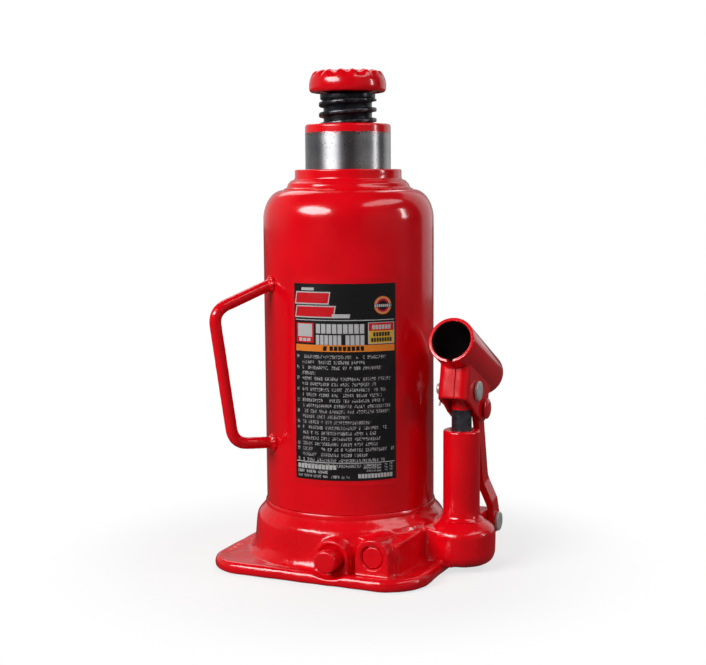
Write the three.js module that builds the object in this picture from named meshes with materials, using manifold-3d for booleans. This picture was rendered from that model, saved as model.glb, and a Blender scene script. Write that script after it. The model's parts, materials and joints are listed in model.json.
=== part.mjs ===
// A hydraulic bottle jack: base casting, oil reservoir, lifting ram with extension screw,
// hand pump with its linked handle socket, and the valves drilled into the base.
// Millimetres, +Z up. The origin is on the floor, on the axis of the ram.
// -Y is the front (release valve side) and +X is the pump side.

import * as THREE from 'three';
import { mergeVertices } from 'three/addons/utils/BufferGeometryUtils.js';
import Module from 'manifold-3d';

const wasm = await Module();
wasm.setup();

// ---- driving dimensions, mm ----

const GAP = 0.3; // running clearance between neighbours

const PLATE = { side: 122, corner: 22, thick: 6.5, edge: 1.6 };
const BODY = { foot: 56, radius: 52.6, waist: 52, shoulder: 51.3, seat: 46.2 };
const BODY_Z = { foot: 8.2, radius: 13, waist: 21, shoulder: 24.7, chamfer: 29.5, seat: 31.3 };
const SPIGOT = { outer: 42.6, inner: 39, top: 35 };
const TANK_FLOOR = 29;
const WELL = { radius: 28.5, floor: 20 };

const SHELL = { radius: 46, wall: 2.6, bottom: 32.9, shoulder: 185.4, lip: 33.7, domeA: 11, domeB: 16 };
const TUBE = { bore: 25, radius: 28.2, bottom: 21.2, top: 196 };
const NUT = { neck: 28.75, flange: 35, top: 212.1, flangeZ: 201.8, skirt: 33.2, skirtZ: 186, bore: 23.3 };
const NUT_SHOULDER = { lip: 0.4, bulge: 4.3, rise: 4.7, edge: 0.6 };
const NUT_GROOVE = { depth: 1.8, from: 198.6, to: 200.8 };
const WIPER = { inner: 23.3, outer: 25.6, bottom: 208.6, top: 211.8 };

const RAM = { radius: 23, top: 236.1, piston: 24.7, pistonZ: 49.5, pistonTop: 57, spigot: 14, bottom: 41 };
const RAM_BORE = { radius: 16.1, floor: 138, threadZ: 218.5, mouthZ: 229.4 };
const SCREW = { crest: 15.5, root: 13, pitch: 5.5, start: 162.55, end: 246.9, collar: 15.2, neck: 10 };
const SCREW_TURNS = 16;
const NUT_THREAD = { skipped: 9, turns: 6 }; // the mating thread in the mouth of the ram
const SCREW_FOOT = { radius: 12.6, bottom: 157, top: 160 };
const THREAD = { root: 2.4, flank: 0.6, crest: 1.9 }; // axial widths over one pitch
const SADDLE = { bottom: 252.4, top: 264.4, pad: 11.4, teeth: 16, grooveHalf: 1.8, groove: 1.3 };
const SADDLE_SIDE = [[18.7, 0], [20.1, 0.6], [20.7, 2], [20.7, 5], [20.2, 8], [19.3, 10.2], [18.4, 11.3]];
const SADDLE_RIM = 17.2;
const SADDLE_SPIGOT = { radius: 9, top: 258 };

const PUMP_X = 64.8;
const PUMP_BOSS = { radius: 18.3, bottom: 2.8, corner: 7, wallTop: 20.8, top: 27.3, neck: 10.9 };
const PUMP_SHOULDER = [[17.6, 22.4], [15.5, 24], [12, 26.3]];
const WEB = { from: 45, half: 16, bottom: 3, top: 22.6 }; // joins the pump boss to the body
const PORT_BLOCK = { inner: 24, outer: 46.6, outerBack: 50.2, front: -46, back: -16, bottom: 3, top: 22.3 };
const PUMP_WELL = { radius: 8.6, ledge: 13.8, chamber: 6.5, floor: 11 };
const PUMP = { radius: 9.8, spigot: 8.3, bore: 5.65, bottom: 15.3, flange: 27.6, top: 74.5 };
const PUMP_FLARE = [[11.3, 0], [10.3, 1.2], [9.8, 3.4]]; // radius, height above the flange
const PLUNGER = { radius: 5.35, bottom: 28, top: 101.5, edge: 1.6 };
const PLUNGER_GROOVE = { from: 3, to: 6, depth: 1.2 }; // heights above its lower end

const PIN = { shank: 3, hole: 3.3, head: 5.25, headThick: 1.7 };
const PIN_Z = 95.7;
const TILT = THREE.MathUtils.degToRad(25.8); // handle socket above horizontal
const LUG = { y: 29, z: 18.8, half: 6.8, ear: 7.2 };
const RIVET = { y: 13.4, z: 84.2, shank: 2.6, head: 5.6, headThick: 2.4, dome: 2 };
const SOCKET = { radius: 12.3, bore: 10.4, lift: 18.35, front: -27.9, back: 29.1 };
const YOKE = { half: 8.4, wall: 1.9, front: -16.6, corner: 4.5, lean: 0.237, roomBack: 24.5, lobe: 6.9 };
const YOKE_SIDE = [[-26, -8.6], [-1.5, -9.4], [6, -11.1]]; // y, z along the underside of the cheeks
const YOKE_HEEL = [[21.1, 4.3], [22.5, 9.5]]; // y, z where the cheeks run back up to the tube
const LINK = { width: 9.2, thick: 3.6, inner: 2.5, lowEnd: 6, eye: 6, jogLow: 12, jogHigh: 23.5 };
const LINK_SLOP = { hole: 3.65, along: 0.11 }; // clearance eye around the rivet

const VALVE = { x: 13.5, z: 13.5, face: -56, boss: 9.4, recess: 7.4, recessY: -54, bore: 5.3, boreEnd: -37 };
const RELEASE = { seat: -31.5, hole: 1.5, chamber: 3.2, stem: 5, collar: 6.1, collarEnd: -59.5, tip: -66 };
const RELEASE_END = { edge: 1.4, flat: 4.7, nose: 2.2 };
const RELEASE_GROOVE = { from: -50.4, to: -47.8, depth: 1.2 };
const PORT = { x: 35.3, z: 15.5, face: -54, recess: 5.9, recessY: -51, bore: 4.7, boreEnd: -38, seat: -32 };
const BALL = 2.38;
const RELEASE_BALL = 2.6;
const SCALLOP = { radius: 20, bottom: 4.1 };
const SUCTION = { seat: 6.6, hole: 1.3, pocket: 2.9, gallery: 5, inlet: 36 };
const DELIVERY = { x: 16, seat: 13.8, hole: 1.2, pocket: 2.8, gallery: 12.4, mouth: 3.6, mouthZ: 18.4 };
const RETURN_HOLE = { y: -35, radius: 1.6 };
const PRESSURE_DRILL = { y: -24, riserY: -17 };

const ROD = 3.15; // carry handle
const HANDLE_ANGLE = THREE.MathUtils.degToRad(-129);
const HANDLE = { topZ: 153, topOut: 79, topBendZ: 139.5, lowOut: 69, lowBendZ: 68.8, lowZ: 67.2, bend: 8 };
const LABEL = { bottom: 51.8, top: 153.9, angle: -69.4, half: 34, offset: 0.3, thick: 0.3 };
const FILLER = { z: 168, hole: 5, head: 7.2, neck: 4.7 };

// ---- materials ----

function paint(color, roughness, metalness) {
  return new THREE.MeshStandardMaterial({ color, roughness, metalness });
}

const RED = paint(0xc8101c, 0.25, 0);
const BARE_STEEL = paint(0xb9b7b4, 0.25, 1);
const ZINC = paint(0xc9c9c6, 0.35, 1);
const BLACK_STEEL = paint(0x24252a, 0.45, 0.8);
const COPPER = paint(0xb87346, 0.4, 1);
const RUBBER = paint(0x1a1a1a, 0.8, 0);
const PRINT = paint(0x1c1a1a, 0.35, 0);

// ---- solids from three.js geometry ----

const BIG = 36;
const ROUND = 20;
const SMALL = 14;

const LATHE_TO = {
  x: (geometry) => geometry.rotateZ(-Math.PI / 2),
  y: (geometry) => geometry,
  z: (geometry) => geometry.rotateX(Math.PI / 2),
};

function signedVolume(points, triangles) {
  let volume = 0;
  for (let i = 0; i < triangles.length; i += 3) {
    const [a, b, c] = [0, 1, 2].map((k) => new THREE.Vector3().fromArray(points, 3 * triangles[i + k]));
    volume += a.dot(b.cross(c));
  }
  return volume;
}

function solid(geometry) {
  const bare = new THREE.BufferGeometry();
  bare.setAttribute('position', geometry.attributes.position);
  bare.setIndex(geometry.index);
  const merged = mergeVertices(bare, 1e-4);
  const points = new Float32Array(merged.attributes.position.array);
  const index = merged.index.array;
  const triangles = [];
  for (let i = 0; i < index.length; i += 3) {
    const [a, b, c] = [index[i], index[i + 1], index[i + 2]];
    if (a !== b && b !== c && c !== a) {
      triangles.push(a, b, c);
    }
  }
  if (signedVolume(points, triangles) < 0) {
    triangles.reverse();
  }
  const mesh = new wasm.Mesh({ numProp: 3, vertProperties: points, triVerts: new Uint32Array(triangles) });
  return new wasm.Manifold(mesh);
}

// a turned piece: outline of [radius, position] points round an axis through `at`
function turned(outline, axis = 'z', at = [0, 0, 0], segments = ROUND) {
  const points = outline.map(([radius, height]) => new THREE.Vector2(radius, height));
  const geometry = LATHE_TO[axis](new THREE.LatheGeometry(points, segments));
  return solid(geometry.translate(...at));
}

function rod(radius, from, to, axis = 'z', at = [0, 0, 0], segments = ROUND) {
  return turned([[0, from], [radius, from], [radius, to], [0, to]], axis, at, segments);
}

function ring(inner, outer, from, to, axis = 'z', at = [0, 0, 0], segments = ROUND) {
  const outline = [[inner, from], [outer, from], [outer, to], [inner, to], [inner, from]];
  return turned(outline, axis, at, segments);
}

function block(low, high) {
  const [x, y, z] = low.map((value, i) => high[i] - value);
  const geometry = new THREE.BoxGeometry(x, y, z);
  return solid(geometry.translate((low[0] + high[0]) / 2, (low[1] + high[1]) / 2, (low[2] + high[2]) / 2));
}

function ball(radius, at) {
  return solid(new THREE.SphereGeometry(radius, 12, 8).translate(...at));
}

// a flat outline pushed up along Z
function pushedUp(shape, from, to, curveSegments = 8) {
  const geometry = new THREE.ExtrudeGeometry(shape, { depth: to - from, bevelEnabled: false, curveSegments });
  return solid(geometry.translate(0, 0, from));
}

// an outline drawn in Y and Z, pushed sideways along X
function pushedAcross(shape, from, to, curveSegments = 8) {
  const geometry = new THREE.ExtrudeGeometry(shape, { depth: to - from, bevelEnabled: false, curveSegments });
  const [y, z, x] = [new THREE.Vector3(0, 1, 0), new THREE.Vector3(0, 0, 1), new THREE.Vector3(1, 0, 0)];
  geometry.applyMatrix4(new THREE.Matrix4().makeBasis(y, z, x));
  return solid(geometry.translate(from, 0, 0));
}

// round wire along a curve
function wire(curve, radius, steps, sides) {
  const section = new THREE.Shape().absarc(0, 0, radius, 0, 2 * Math.PI, false);
  const options = { steps, extrudePath: curve, bevelEnabled: false, curveSegments: sides / 2 };
  return solid(new THREE.ExtrudeGeometry(section, options));
}

function arc(centre, radius, from, to, steps) {
  return Array.from({ length: steps + 1 }, (_, i) => {
    const angle = THREE.MathUtils.degToRad(from + ((to - from) * i) / steps);
    return [centre[0] + radius * Math.cos(angle), centre[1] + radius * Math.sin(angle)];
  });
}

// a straight-sided path whose corners are rounded
function roundedPath(points, radius) {
  const path = new THREE.CurvePath();
  let start = points[0];
  for (let i = 1; i < points.length - 1; i += 1) {
    const before = points[i - 1].clone().sub(points[i]).setLength(radius).add(points[i]);
    const after = points[i + 1].clone().sub(points[i]).setLength(radius).add(points[i]);
    path.add(new THREE.LineCurve3(start, before));
    path.add(new THREE.QuadraticBezierCurve3(before, points[i], after));
    start = after;
  }
  path.add(new THREE.LineCurve3(start, points[points.length - 1]));
  return path;
}

// a right-hand screw surface, closed by a fan to the axis at each end
function threadBody(from, turns, radii, widths, pitch) {
  const [root, crest] = radii;
  const rise = [0, widths.root, widths.root + widths.flank, widths.root + widths.flank + widths.crest];
  const reach = [root, root, crest, crest];
  const perTurn = rise.length;
  const columns = ROUND;
  const rows = perTurn * turns;
  const place = (row, column) => {
    const angle = (2 * Math.PI * column) / columns;
    const height = from + pitch * (Math.floor(row / perTurn) + column / columns) + rise[row % perTurn];
    const radius = reach[row % perTurn];
    return [radius * Math.cos(angle), radius * Math.sin(angle), height];
  };
  const corners = [];
  const face = (a, b, c) => corners.push(...a, ...b, ...c);
  for (let row = 0; row < rows; row += 1) {
    for (let column = 0; column < columns; column += 1) {
      const [a, b] = [place(row, column), place(row, column + 1)];
      const [c, d] = [place(row + 1, column + 1), place(row + 1, column)];
      face(a, b, c);
      face(a, c, d);
    }
  }
  const [low, high] = [[0, 0, from], [0, 0, from + pitch * (turns + 1)]];
  for (let column = 0; column < columns; column += 1) {
    face(low, place(0, column + 1), place(0, column));
    face(high, place(rows, column), place(rows, column + 1));
  }
  for (let row = 0; row < perTurn; row += 1) {
    face(low, place(row, 0), place(row + 1, 0));
    face(high, place(rows - perTurn + row + 1, columns), place(rows - perTurn + row, columns));
  }
  const geometry = new THREE.BufferGeometry();
  geometry.setAttribute('position', new THREE.Float32BufferAttribute(corners, 3));
  return solid(geometry);
}

function joined(...pieces) {
  return pieces.reduce((whole, piece) => whole.add(piece));
}

function cut(piece, ...tools) {
  return tools.reduce((whole, tool) => whole.subtract(tool), piece);
}

function named(name, piece, material) {
  const { vertProperties, triVerts } = piece.getMesh();
  const geometry = new THREE.BufferGeometry();
  geometry.setAttribute('position', new THREE.BufferAttribute(new Float32Array(vertProperties), 3));
  geometry.setIndex(new THREE.BufferAttribute(new Uint32Array(triVerts), 1));
  geometry.computeVertexNormals();
  const mesh = new THREE.Mesh(geometry, material);
  mesh.name = name;
  return mesh;
}

// ---- base casting and the drillings in it ----

function roundedSquare(side, corner) {
  const half = side / 2;
  const inner = half - corner;
  const shape = new THREE.Shape();
  shape.absarc(inner, -inner, corner, -Math.PI / 2, 0, false);
  shape.absarc(inner, inner, corner, 0, Math.PI / 2, false);
  shape.absarc(-inner, inner, corner, Math.PI / 2, Math.PI, false);
  shape.absarc(-inner, -inner, corner, Math.PI, 1.5 * Math.PI, false);
  shape.closePath();
  return shape;
}

function plate() {
  const { side, corner, thick, edge } = PLATE;
  const options = {
    depth: thick - 2 * edge,
    bevelThickness: edge,
    bevelSize: edge,
    bevelOffset: -edge,
    bevelSegments: 2,
    curveSegments: 5,
  };
  return solid(new THREE.ExtrudeGeometry(roundedSquare(side, corner), options).translate(0, 0, edge));
}

function bodyBoss() {
  return turned([
    [0, 1],
    [BODY.foot, 1],
    [BODY.foot, PLATE.thick - 0.2],
    [BODY.foot - 2, BODY_Z.foot],
    [BODY.radius, BODY_Z.radius],
    [BODY.waist, BODY_Z.waist],
    [BODY.shoulder, BODY_Z.shoulder],
    [BODY.seat + 0.8, BODY_Z.chamfer],
    [BODY.seat, BODY_Z.seat],
    [SPIGOT.outer, BODY_Z.seat],
    [SPIGOT.outer, SPIGOT.top],
    [SPIGOT.inner, SPIGOT.top],
    [SPIGOT.inner, TANK_FLOOR],
    [WELL.radius, TANK_FLOOR],
    [WELL.radius, WELL.floor],
    [0, WELL.floor],
  ], 'z', [0, 0, 0], BIG);
}

function pumpBoss() {
  const { radius, bottom, corner, wallTop, top, neck } = PUMP_BOSS;
  const edge = arc([radius - corner, bottom + corner], corner, -90, 0, 3);
  const outline = [[0, bottom], ...edge, [radius, wallTop], ...PUMP_SHOULDER, [neck, top], [0, top]];
  return turned(outline, 'z', [PUMP_X, 0, 0], BIG);
}

function pumpWeb() {
  return block([WEB.from, -WEB.half, WEB.bottom], [PUMP_X, WEB.half, WEB.top]);
}

function lug() {
  const shape = new THREE.Shape();
  shape.moveTo(6, 5);
  shape.lineTo(LUG.y - 5, 5);
  shape.absarc(LUG.y, LUG.z, LUG.ear, -Math.PI / 4, Math.PI / 2, false);
  shape.lineTo(6, LUG.z + LUG.ear);
  shape.closePath();
  return pushedAcross(shape, PUMP_X - LUG.half, PUMP_X + LUG.half);
}

function portBoss(port, back) {
  const barrel = rod(VALVE.boss, port.face, back, 'y', [port.x, 0, port.z]);
  const footing = block([port.x - VALVE.boss, port.face, 3], [port.x + VALVE.boss, back, port.z]);
  return joined(barrel, footing);
}

// the shoulder of metal behind the right-hand port
function portBlock() {
  const { inner, outer, outerBack, front, back, bottom, top } = PORT_BLOCK;
  const shape = new THREE.Shape();
  shape.moveTo(inner, front);
  shape.lineTo(outer, front);
  shape.lineTo(outerBack, back);
  shape.lineTo(inner, back);
  shape.closePath();
  return pushedUp(shape, bottom, top);
}

function drill(radius, from, to, axis, at) {
  return rod(radius, from, to, axis, at, 8);
}

function releaseDrillings() {
  const at = [VALVE.x, 0, VALVE.z];
  return [
    rod(VALVE.recess, VALVE.face - 1, VALVE.recessY, 'y', at),
    rod(VALVE.bore, VALVE.face - 1, VALVE.boreEnd, 'y', at, SMALL),
    rod(RELEASE.chamber, VALVE.boreEnd - 1, RELEASE.seat, 'y', at, SMALL),
    drill(RELEASE.hole, RELEASE.seat - 1, PRESSURE_DRILL.riserY, 'y', at),
    drill(RELEASE.hole, VALVE.z, WELL.floor + 1, 'z', [VALVE.x, PRESSURE_DRILL.riserY, 0]),
    drill(RETURN_HOLE.radius, VALVE.z, TANK_FLOOR + 1, 'z', [VALVE.x, RETURN_HOLE.y, 0]),
  ];
}

function safetyDrillings() {
  const at = [PORT.x, 0, PORT.z];
  return [
    rod(PORT.recess, PORT.face - 1, PORT.recessY, 'y', at, SMALL),
    rod(PORT.bore, PORT.face - 1, PORT.boreEnd, 'y', at, SMALL),
    rod(RELEASE.chamber, PORT.boreEnd - 1, PORT.seat, 'y', at, SMALL),
    drill(SUCTION.hole, PORT.seat - 1, PRESSURE_DRILL.y + 1, 'y', at),
    drill(SUCTION.hole, VALVE.x, PORT.x, 'x', [0, PRESSURE_DRILL.y, PORT.z]),
    drill(DELIVERY.hole, VALVE.x, PORT.x, 'x', [0, RETURN_HOLE.y, PORT.z]),
  ];
}

function pumpDrillings() {
  const at = [PUMP_X, 0, 0];
  return [
    rod(PUMP_WELL.radius, PUMP_WELL.ledge, PUMP_BOSS.top + 1, 'z', at),
    rod(PUMP_WELL.chamber, PUMP_WELL.floor, PUMP_WELL.ledge + 1, 'z', at, SMALL),
    rod(SUCTION.pocket, SUCTION.seat, PUMP_WELL.floor + 1, 'z', at, SMALL),
    drill(SUCTION.hole, SUCTION.gallery, SUCTION.seat + 1, 'z', at),
    drill(SUCTION.hole, SUCTION.inlet, PUMP_X, 'x', [0, 0, SUCTION.gallery]),
    drill(RETURN_HOLE.radius, SUCTION.gallery, TANK_FLOOR + 1, 'z', [SUCTION.inlet, 0, 0]),
    drill(DELIVERY.hole, DELIVERY.x, PUMP_X, 'x', [0, 0, DELIVERY.gallery]),
    drill(DELIVERY.hole, DELIVERY.gallery, DELIVERY.seat + 1, 'z', [DELIVERY.x, 0, 0]),
    rod(DELIVERY.pocket, DELIVERY.seat, WELL.floor + 1, 'z', [DELIVERY.x, 0, 0], SMALL),
    rod(DELIVERY.mouth, DELIVERY.mouthZ, WELL.floor + 1, 'z', [DELIVERY.x, 0, 0], SMALL),
  ];
}

function frontScallop() {
  const centre = [VALVE.x, 0, SCALLOP.bottom + SCALLOP.radius];
  const wheel = rod(SCALLOP.radius, -PLATE.side, VALVE.face - 0.5, 'y', centre, BIG);
  return cut(wheel, block([-PLATE.side, -2 * PLATE.side, PLATE.thick + 2], [PLATE.side, 0, 2 * PLATE.side]));
}

function baseCasting() {
  const bosses = [pumpBoss(), pumpWeb(), lug(), portBoss(VALVE, -36), portBoss(PORT, -24), portBlock()];
  const body = joined(plate(), bodyBoss(), ...bosses);
  const well = rod(WELL.radius, WELL.floor, SPIGOT.top + 1, 'z', [0, 0, 0], BIG);
  const tank = ring(WELL.radius - 1, SPIGOT.inner, TANK_FLOOR, SPIGOT.top + 1, 'z', [0, 0, 0], BIG);
  const lugHole = rod(PIN.hole, PUMP_X - 2 * LUG.half, PUMP_X + 2 * LUG.half, 'x', [0, LUG.y, LUG.z], SMALL);
  const drillings = [...releaseDrillings(), ...safetyDrillings(), ...pumpDrillings()];
  return cut(body, well, tank, lugHole, frontScallop(), ...drillings);
}

// ---- reservoir, cylinder and top nut ----

function shellOutline() {
  const { radius, wall, bottom, shoulder, lip, domeA, domeB } = SHELL;
  const centre = radius - domeA;
  const dome = (inset, steps) => Array.from({ length: steps + 1 }, (_, i) => {
    const turn = (Math.PI / 2) * (i / steps);
    return [centre + (domeA - inset) * Math.cos(turn), shoulder + (domeB - inset) * Math.sin(turn)];
  });
  const outer = dome(0, 6);
  const inner = dome(wall, 3).reverse();
  const top = shoulder + domeB;
  return [[radius - wall, bottom], [radius, bottom], ...outer, [lip, top], [lip, top - wall], ...inner,
    [radius - wall, bottom]];
}

function reservoirShell() {
  const shell = turned(shellOutline(), 'z', [0, 0, 0], BIG);
  const hole = rod(FILLER.hole, SHELL.radius - 8, SHELL.radius + 8, 'y', [0, 0, FILLER.z], SMALL);
  return cut(shell, hole);
}

function topNut() {
  const { neck, flange, top, flangeZ, skirt, skirtZ, bore } = NUT;
  const { lip, bulge, rise, edge } = NUT_SHOULDER;
  const shoulder = [0, 1, 2, 3, 4].map((step) => {
    const turn = (Math.PI / 2) * (step / 4);
    return [neck + bulge * Math.cos(turn), flangeZ + lip + rise * Math.sin(turn)];
  });
  return turned([
    [TUBE.radius + GAP, skirtZ],
    [skirt, skirtZ],
    [skirt, NUT_GROOVE.from],
    [skirt - NUT_GROOVE.depth, NUT_GROOVE.from],
    [skirt - NUT_GROOVE.depth, NUT_GROOVE.to],
    [skirt, NUT_GROOVE.to],
    [skirt, flangeZ],
    [flange, flangeZ],
    [flange, flangeZ + lip],
    ...shoulder,
    [neck, top - edge],
    [neck - edge, top],
    [WIPER.outer + GAP, top],
    [WIPER.outer + GAP, WIPER.bottom - GAP],
    [bore, WIPER.bottom - GAP],
    [bore, TUBE.top + GAP],
    [TUBE.radius + GAP, TUBE.top + GAP],
    [TUBE.radius + GAP, skirtZ],
  ], 'z', [0, 0, 0], BIG);
}

function fillerPlug() {
  const { head, neck } = FILLER;
  const radius = SHELL.radius;
  const inside = radius - SHELL.wall - 1;
  return turned([
    [0, inside - 3],
    [neck - 1, inside - 3],
    [neck, inside - 1.6],
    [neck, radius + GAP],
    [head, radius + GAP + 0.4],
    [head, radius + 1.8],
    [head - 1.6, radius + 3.4],
    [0, radius + 4],
  ], 'y', [0, 0, FILLER.z], SMALL);
}

function label() {
  const [inner, outer] = [SHELL.radius + LABEL.offset, SHELL.radius + LABEL.offset + LABEL.thick];
  const from = THREE.MathUtils.degToRad(LABEL.angle - LABEL.half);
  const to = THREE.MathUtils.degToRad(LABEL.angle + LABEL.half);
  const shape = new THREE.Shape();
  shape.absarc(0, 0, outer, from, to, false);
  shape.absarc(0, 0, inner, to, from, true);
  shape.closePath();
  return pushedUp(shape, LABEL.bottom, LABEL.top, 12);
}

function carryHandle() {
  const { topZ, topOut, topBendZ, lowOut, lowBendZ, lowZ, bend } = HANDLE;
  const at = (out, z) => new THREE.Vector3(out * Math.cos(HANDLE_ANGLE), out * Math.sin(HANDLE_ANGLE), z);
  const inside = SHELL.radius - 2;
  const points = [at(inside, topZ), at(topOut, topBendZ), at(lowOut, lowBendZ), at(inside, lowZ)];
  const bar = wire(roundedPath(points, bend), ROD, 24, 8);
  return cut(bar, rod(SHELL.radius + GAP, 0, SHELL.shoulder, 'z', [0, 0, 0], BIG));
}

// ---- ram, extension screw and saddle ----

function ram() {
  const { radius, top, piston, pistonZ, pistonTop, spigot, bottom } = RAM;
  const body = turned([
    [0, bottom],
    [spigot, bottom],
    [spigot, pistonZ],
    [piston, pistonZ],
    [piston, pistonTop],
    [radius, pistonTop],
    [radius, top - 1.2],
    [radius - 0.4, top - 0.4],
    [radius - 1.2, top],
    [SCREW.root + GAP, top],
    [SCREW.root + GAP, RAM_BORE.threadZ],
    [RAM_BORE.radius, RAM_BORE.threadZ],
    [RAM_BORE.radius, RAM_BORE.floor],
    [0, RAM_BORE.floor],
  ], 'z', [0, 0, 0], BIG);
  const widths = { root: THREAD.root - 2 * GAP, flank: THREAD.flank, crest: THREAD.crest + 2 * GAP };
  const first = SCREW.start + SCREW.pitch * NUT_THREAD.skipped + GAP;
  const thread = threadBody(first, NUT_THREAD.turns, [SCREW.root + GAP, SCREW.crest + GAP], widths, SCREW.pitch);
  return cut(body, thread, rod(RAM_BORE.radius, RAM_BORE.mouthZ, top + 1, 'z', [0, 0, 0], BIG));
}

function extensionScrew() {
  const { crest, root, pitch, start, end, collar, neck } = SCREW;
  const thread = threadBody(start, SCREW_TURNS, [root, crest], THREAD, pitch);
  const threaded = thread.intersect(rod(crest + 1, start + pitch, end));
  const foot = turned([
    [0, SCREW_FOOT.bottom],
    [SCREW_FOOT.radius - 1, SCREW_FOOT.bottom],
    [SCREW_FOOT.radius, SCREW_FOOT.bottom + 1],
    [SCREW_FOOT.radius, SCREW_FOOT.top],
    [neck, SCREW_FOOT.top],
    [neck, start],
    [root, start],
    [root, start + pitch + 1],
    [0, start + pitch + 1],
  ]);
  const head = turned([
    [0, end - 1],
    [root, end - 1],
    [collar, end],
    [collar, SADDLE.bottom - GAP],
    [SADDLE_SPIGOT.radius, SADDLE.bottom - GAP],
    [SADDLE_SPIGOT.radius, SADDLE_SPIGOT.top],
    [0, SADDLE_SPIGOT.top],
  ]);
  return joined(threaded, foot, head);
}

function screwStopRing() {
  const [from, to] = [SCREW_FOOT.top + GAP, SCREW.start - GAP];
  const full = ring(SCREW.neck + GAP, SCREW.crest + 0.2, from, to);
  return cut(full, block([0, -1.6, from - 1], [20, 1.6, to + 1]));
}

function saddle() {
  const { bottom, top, pad, teeth, grooveHalf, groove } = SADDLE;
  const body = turned([
    [0, SADDLE_SPIGOT.top + GAP],
    [SADDLE_SPIGOT.radius + GAP, SADDLE_SPIGOT.top + GAP],
    [SADDLE_SPIGOT.radius + GAP, bottom],
    ...SADDLE_SIDE.map(([radius, height]) => [radius, bottom + height]),
    [SADDLE_RIM, top],
    [0, top],
  ], 'z', [0, 0, 0], BIG);
  const grooves = Array.from({ length: teeth }, (_, i) => {
    const section = new THREE.Shape();
    section.moveTo(-grooveHalf, top + 1);
    section.lineTo(0, top - groove);
    section.lineTo(grooveHalf, top + 1);
    section.closePath();
    const geometry = new THREE.ExtrudeGeometry(section, { depth: SADDLE_RIM, bevelEnabled: false });
    geometry.rotateX(Math.PI / 2);
    geometry.translate(0, -pad, 0);
    return solid(geometry.rotateZ((2 * Math.PI * (i + 0.5)) / teeth));
  });
  return cut(body, ...grooves);
}

// ---- pump, handle socket and link ----

function pumpCylinder() {
  const { radius, spigot, bore, bottom, flange, top } = PUMP;
  return turned([
    [bore, bottom],
    [spigot, bottom],
    [spigot, flange],
    ...PUMP_FLARE.map(([wide, height]) => [wide, flange + height]),
    [radius, top - 1.4],
    [radius - 0.5, top - 0.4],
    [radius - 1.4, top],
    [bore, top],
    [bore, top - 4],
    [bore + 1.6, top - 4],
    [bore + 1.6, top - 7],
    [bore, top - 7],
    [bore, bottom],
  ], 'z', [PUMP_X, 0, 0]);
}

function pumpPlunger() {
  const { radius, bottom, top, edge } = PLUNGER;
  const { from, to, depth } = PLUNGER_GROOVE;
  const body = turned([
    [0, bottom],
    [radius, bottom],
    [radius, bottom + from],
    [radius - depth, bottom + from],
    [radius - depth, bottom + to],
    [radius, bottom + to],
    [radius, top - edge],
    [radius - edge, top],
    [0, top],
  ], 'z', [PUMP_X, 0, 0]);
  return cut(body, rod(PIN.hole, PUMP_X - 2 * radius, PUMP_X + 2 * radius, 'x', [0, 0, PIN_Z], SMALL));
}

// a headed pin along X through `at`, cross-drilled near its far end
function clevisPin(headX, tailX, at) {
  const [y, z] = at;
  const body = turned([
    [0, tailX],
    [PIN.shank - 0.6, tailX],
    [PIN.shank, tailX + 0.6],
    [PIN.shank, headX],
    [PIN.head, headX],
    [PIN.head, headX + PIN.headThick - 0.4],
    [PIN.head - 0.5, headX + PIN.headThick],
    [0, headX + PIN.headThick],
  ], 'x', [PUMP_X, y, z], 16);
  return cut(body, drill(1.15, z - 5, z + 5, 'z', [PUMP_X + tailX + 2.2, y, 0]));
}

// a split pin hanging through a clevis pin, its loop above
function cotter(x, y, z) {
  const path = new THREE.CatmullRomCurve3([
    new THREE.Vector3(x, y + 0.9, z + 5),
    new THREE.Vector3(x, y + 1.7, z + 6.6),
    new THREE.Vector3(x, y, z + 8),
    new THREE.Vector3(x, y - 1.6, z + 6.4),
    new THREE.Vector3(x, y - 0.1, z + 4.2),
    new THREE.Vector3(x, y, z),
    new THREE.Vector3(x, y, z - 5),
    new THREE.Vector3(x - 0.8, y, z - 9),
  ]);
  return wire(path, 0.8, 18, 6);
}

// the rivet's place in the socket's own frame
function rivetOnSocket() {
  const [y, z] = [RIVET.y, RIVET.z - PIN_Z];
  return [y * Math.cos(TILT) - z * Math.sin(TILT), y * Math.sin(TILT) + z * Math.cos(TILT)];
}

// a U in plan, open to the back, its front wall leaning back as it goes down
function yokeBlank(half, front, corner, back) {
  const shape = new THREE.Shape();
  shape.moveTo(-half, back);
  shape.lineTo(-half, front + corner);
  shape.absarc(-half + corner, front + corner, corner, Math.PI, 1.5 * Math.PI, false);
  shape.absarc(half - corner, front + corner, corner, 1.5 * Math.PI, 2 * Math.PI, false);
  shape.lineTo(half, back);
  shape.closePath();
  const [from, to] = [-2 * YOKE.lobe, SOCKET.lift];
  const geometry = new THREE.ExtrudeGeometry(shape, { depth: to - from, bevelEnabled: false, curveSegments: 8 });
  geometry.translate(0, 0, from);
  geometry.applyMatrix4(new THREE.Matrix4().makeShear(0, 0, 0, 0, 0, -YOKE.lean));
  return solid(geometry);
}

function yokeSide() {
  const [rivetY, rivetZ] = rivetOnSocket();
  const shape = new THREE.Shape();
  shape.moveTo(YOKE_SIDE[0][0], SOCKET.lift);
  YOKE_SIDE.forEach(([y, z]) => shape.lineTo(y, z));
  shape.absarc(rivetY, rivetZ, YOKE.lobe, -Math.PI / 2, Math.PI / 6, false);
  YOKE_HEEL.forEach(([y, z]) => shape.lineTo(y, z));
  shape.lineTo(YOKE_HEEL[1][0], SOCKET.lift);
  shape.closePath();
  return pushedAcross(shape, -2 * YOKE.half, 2 * YOKE.half);
}

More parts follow.
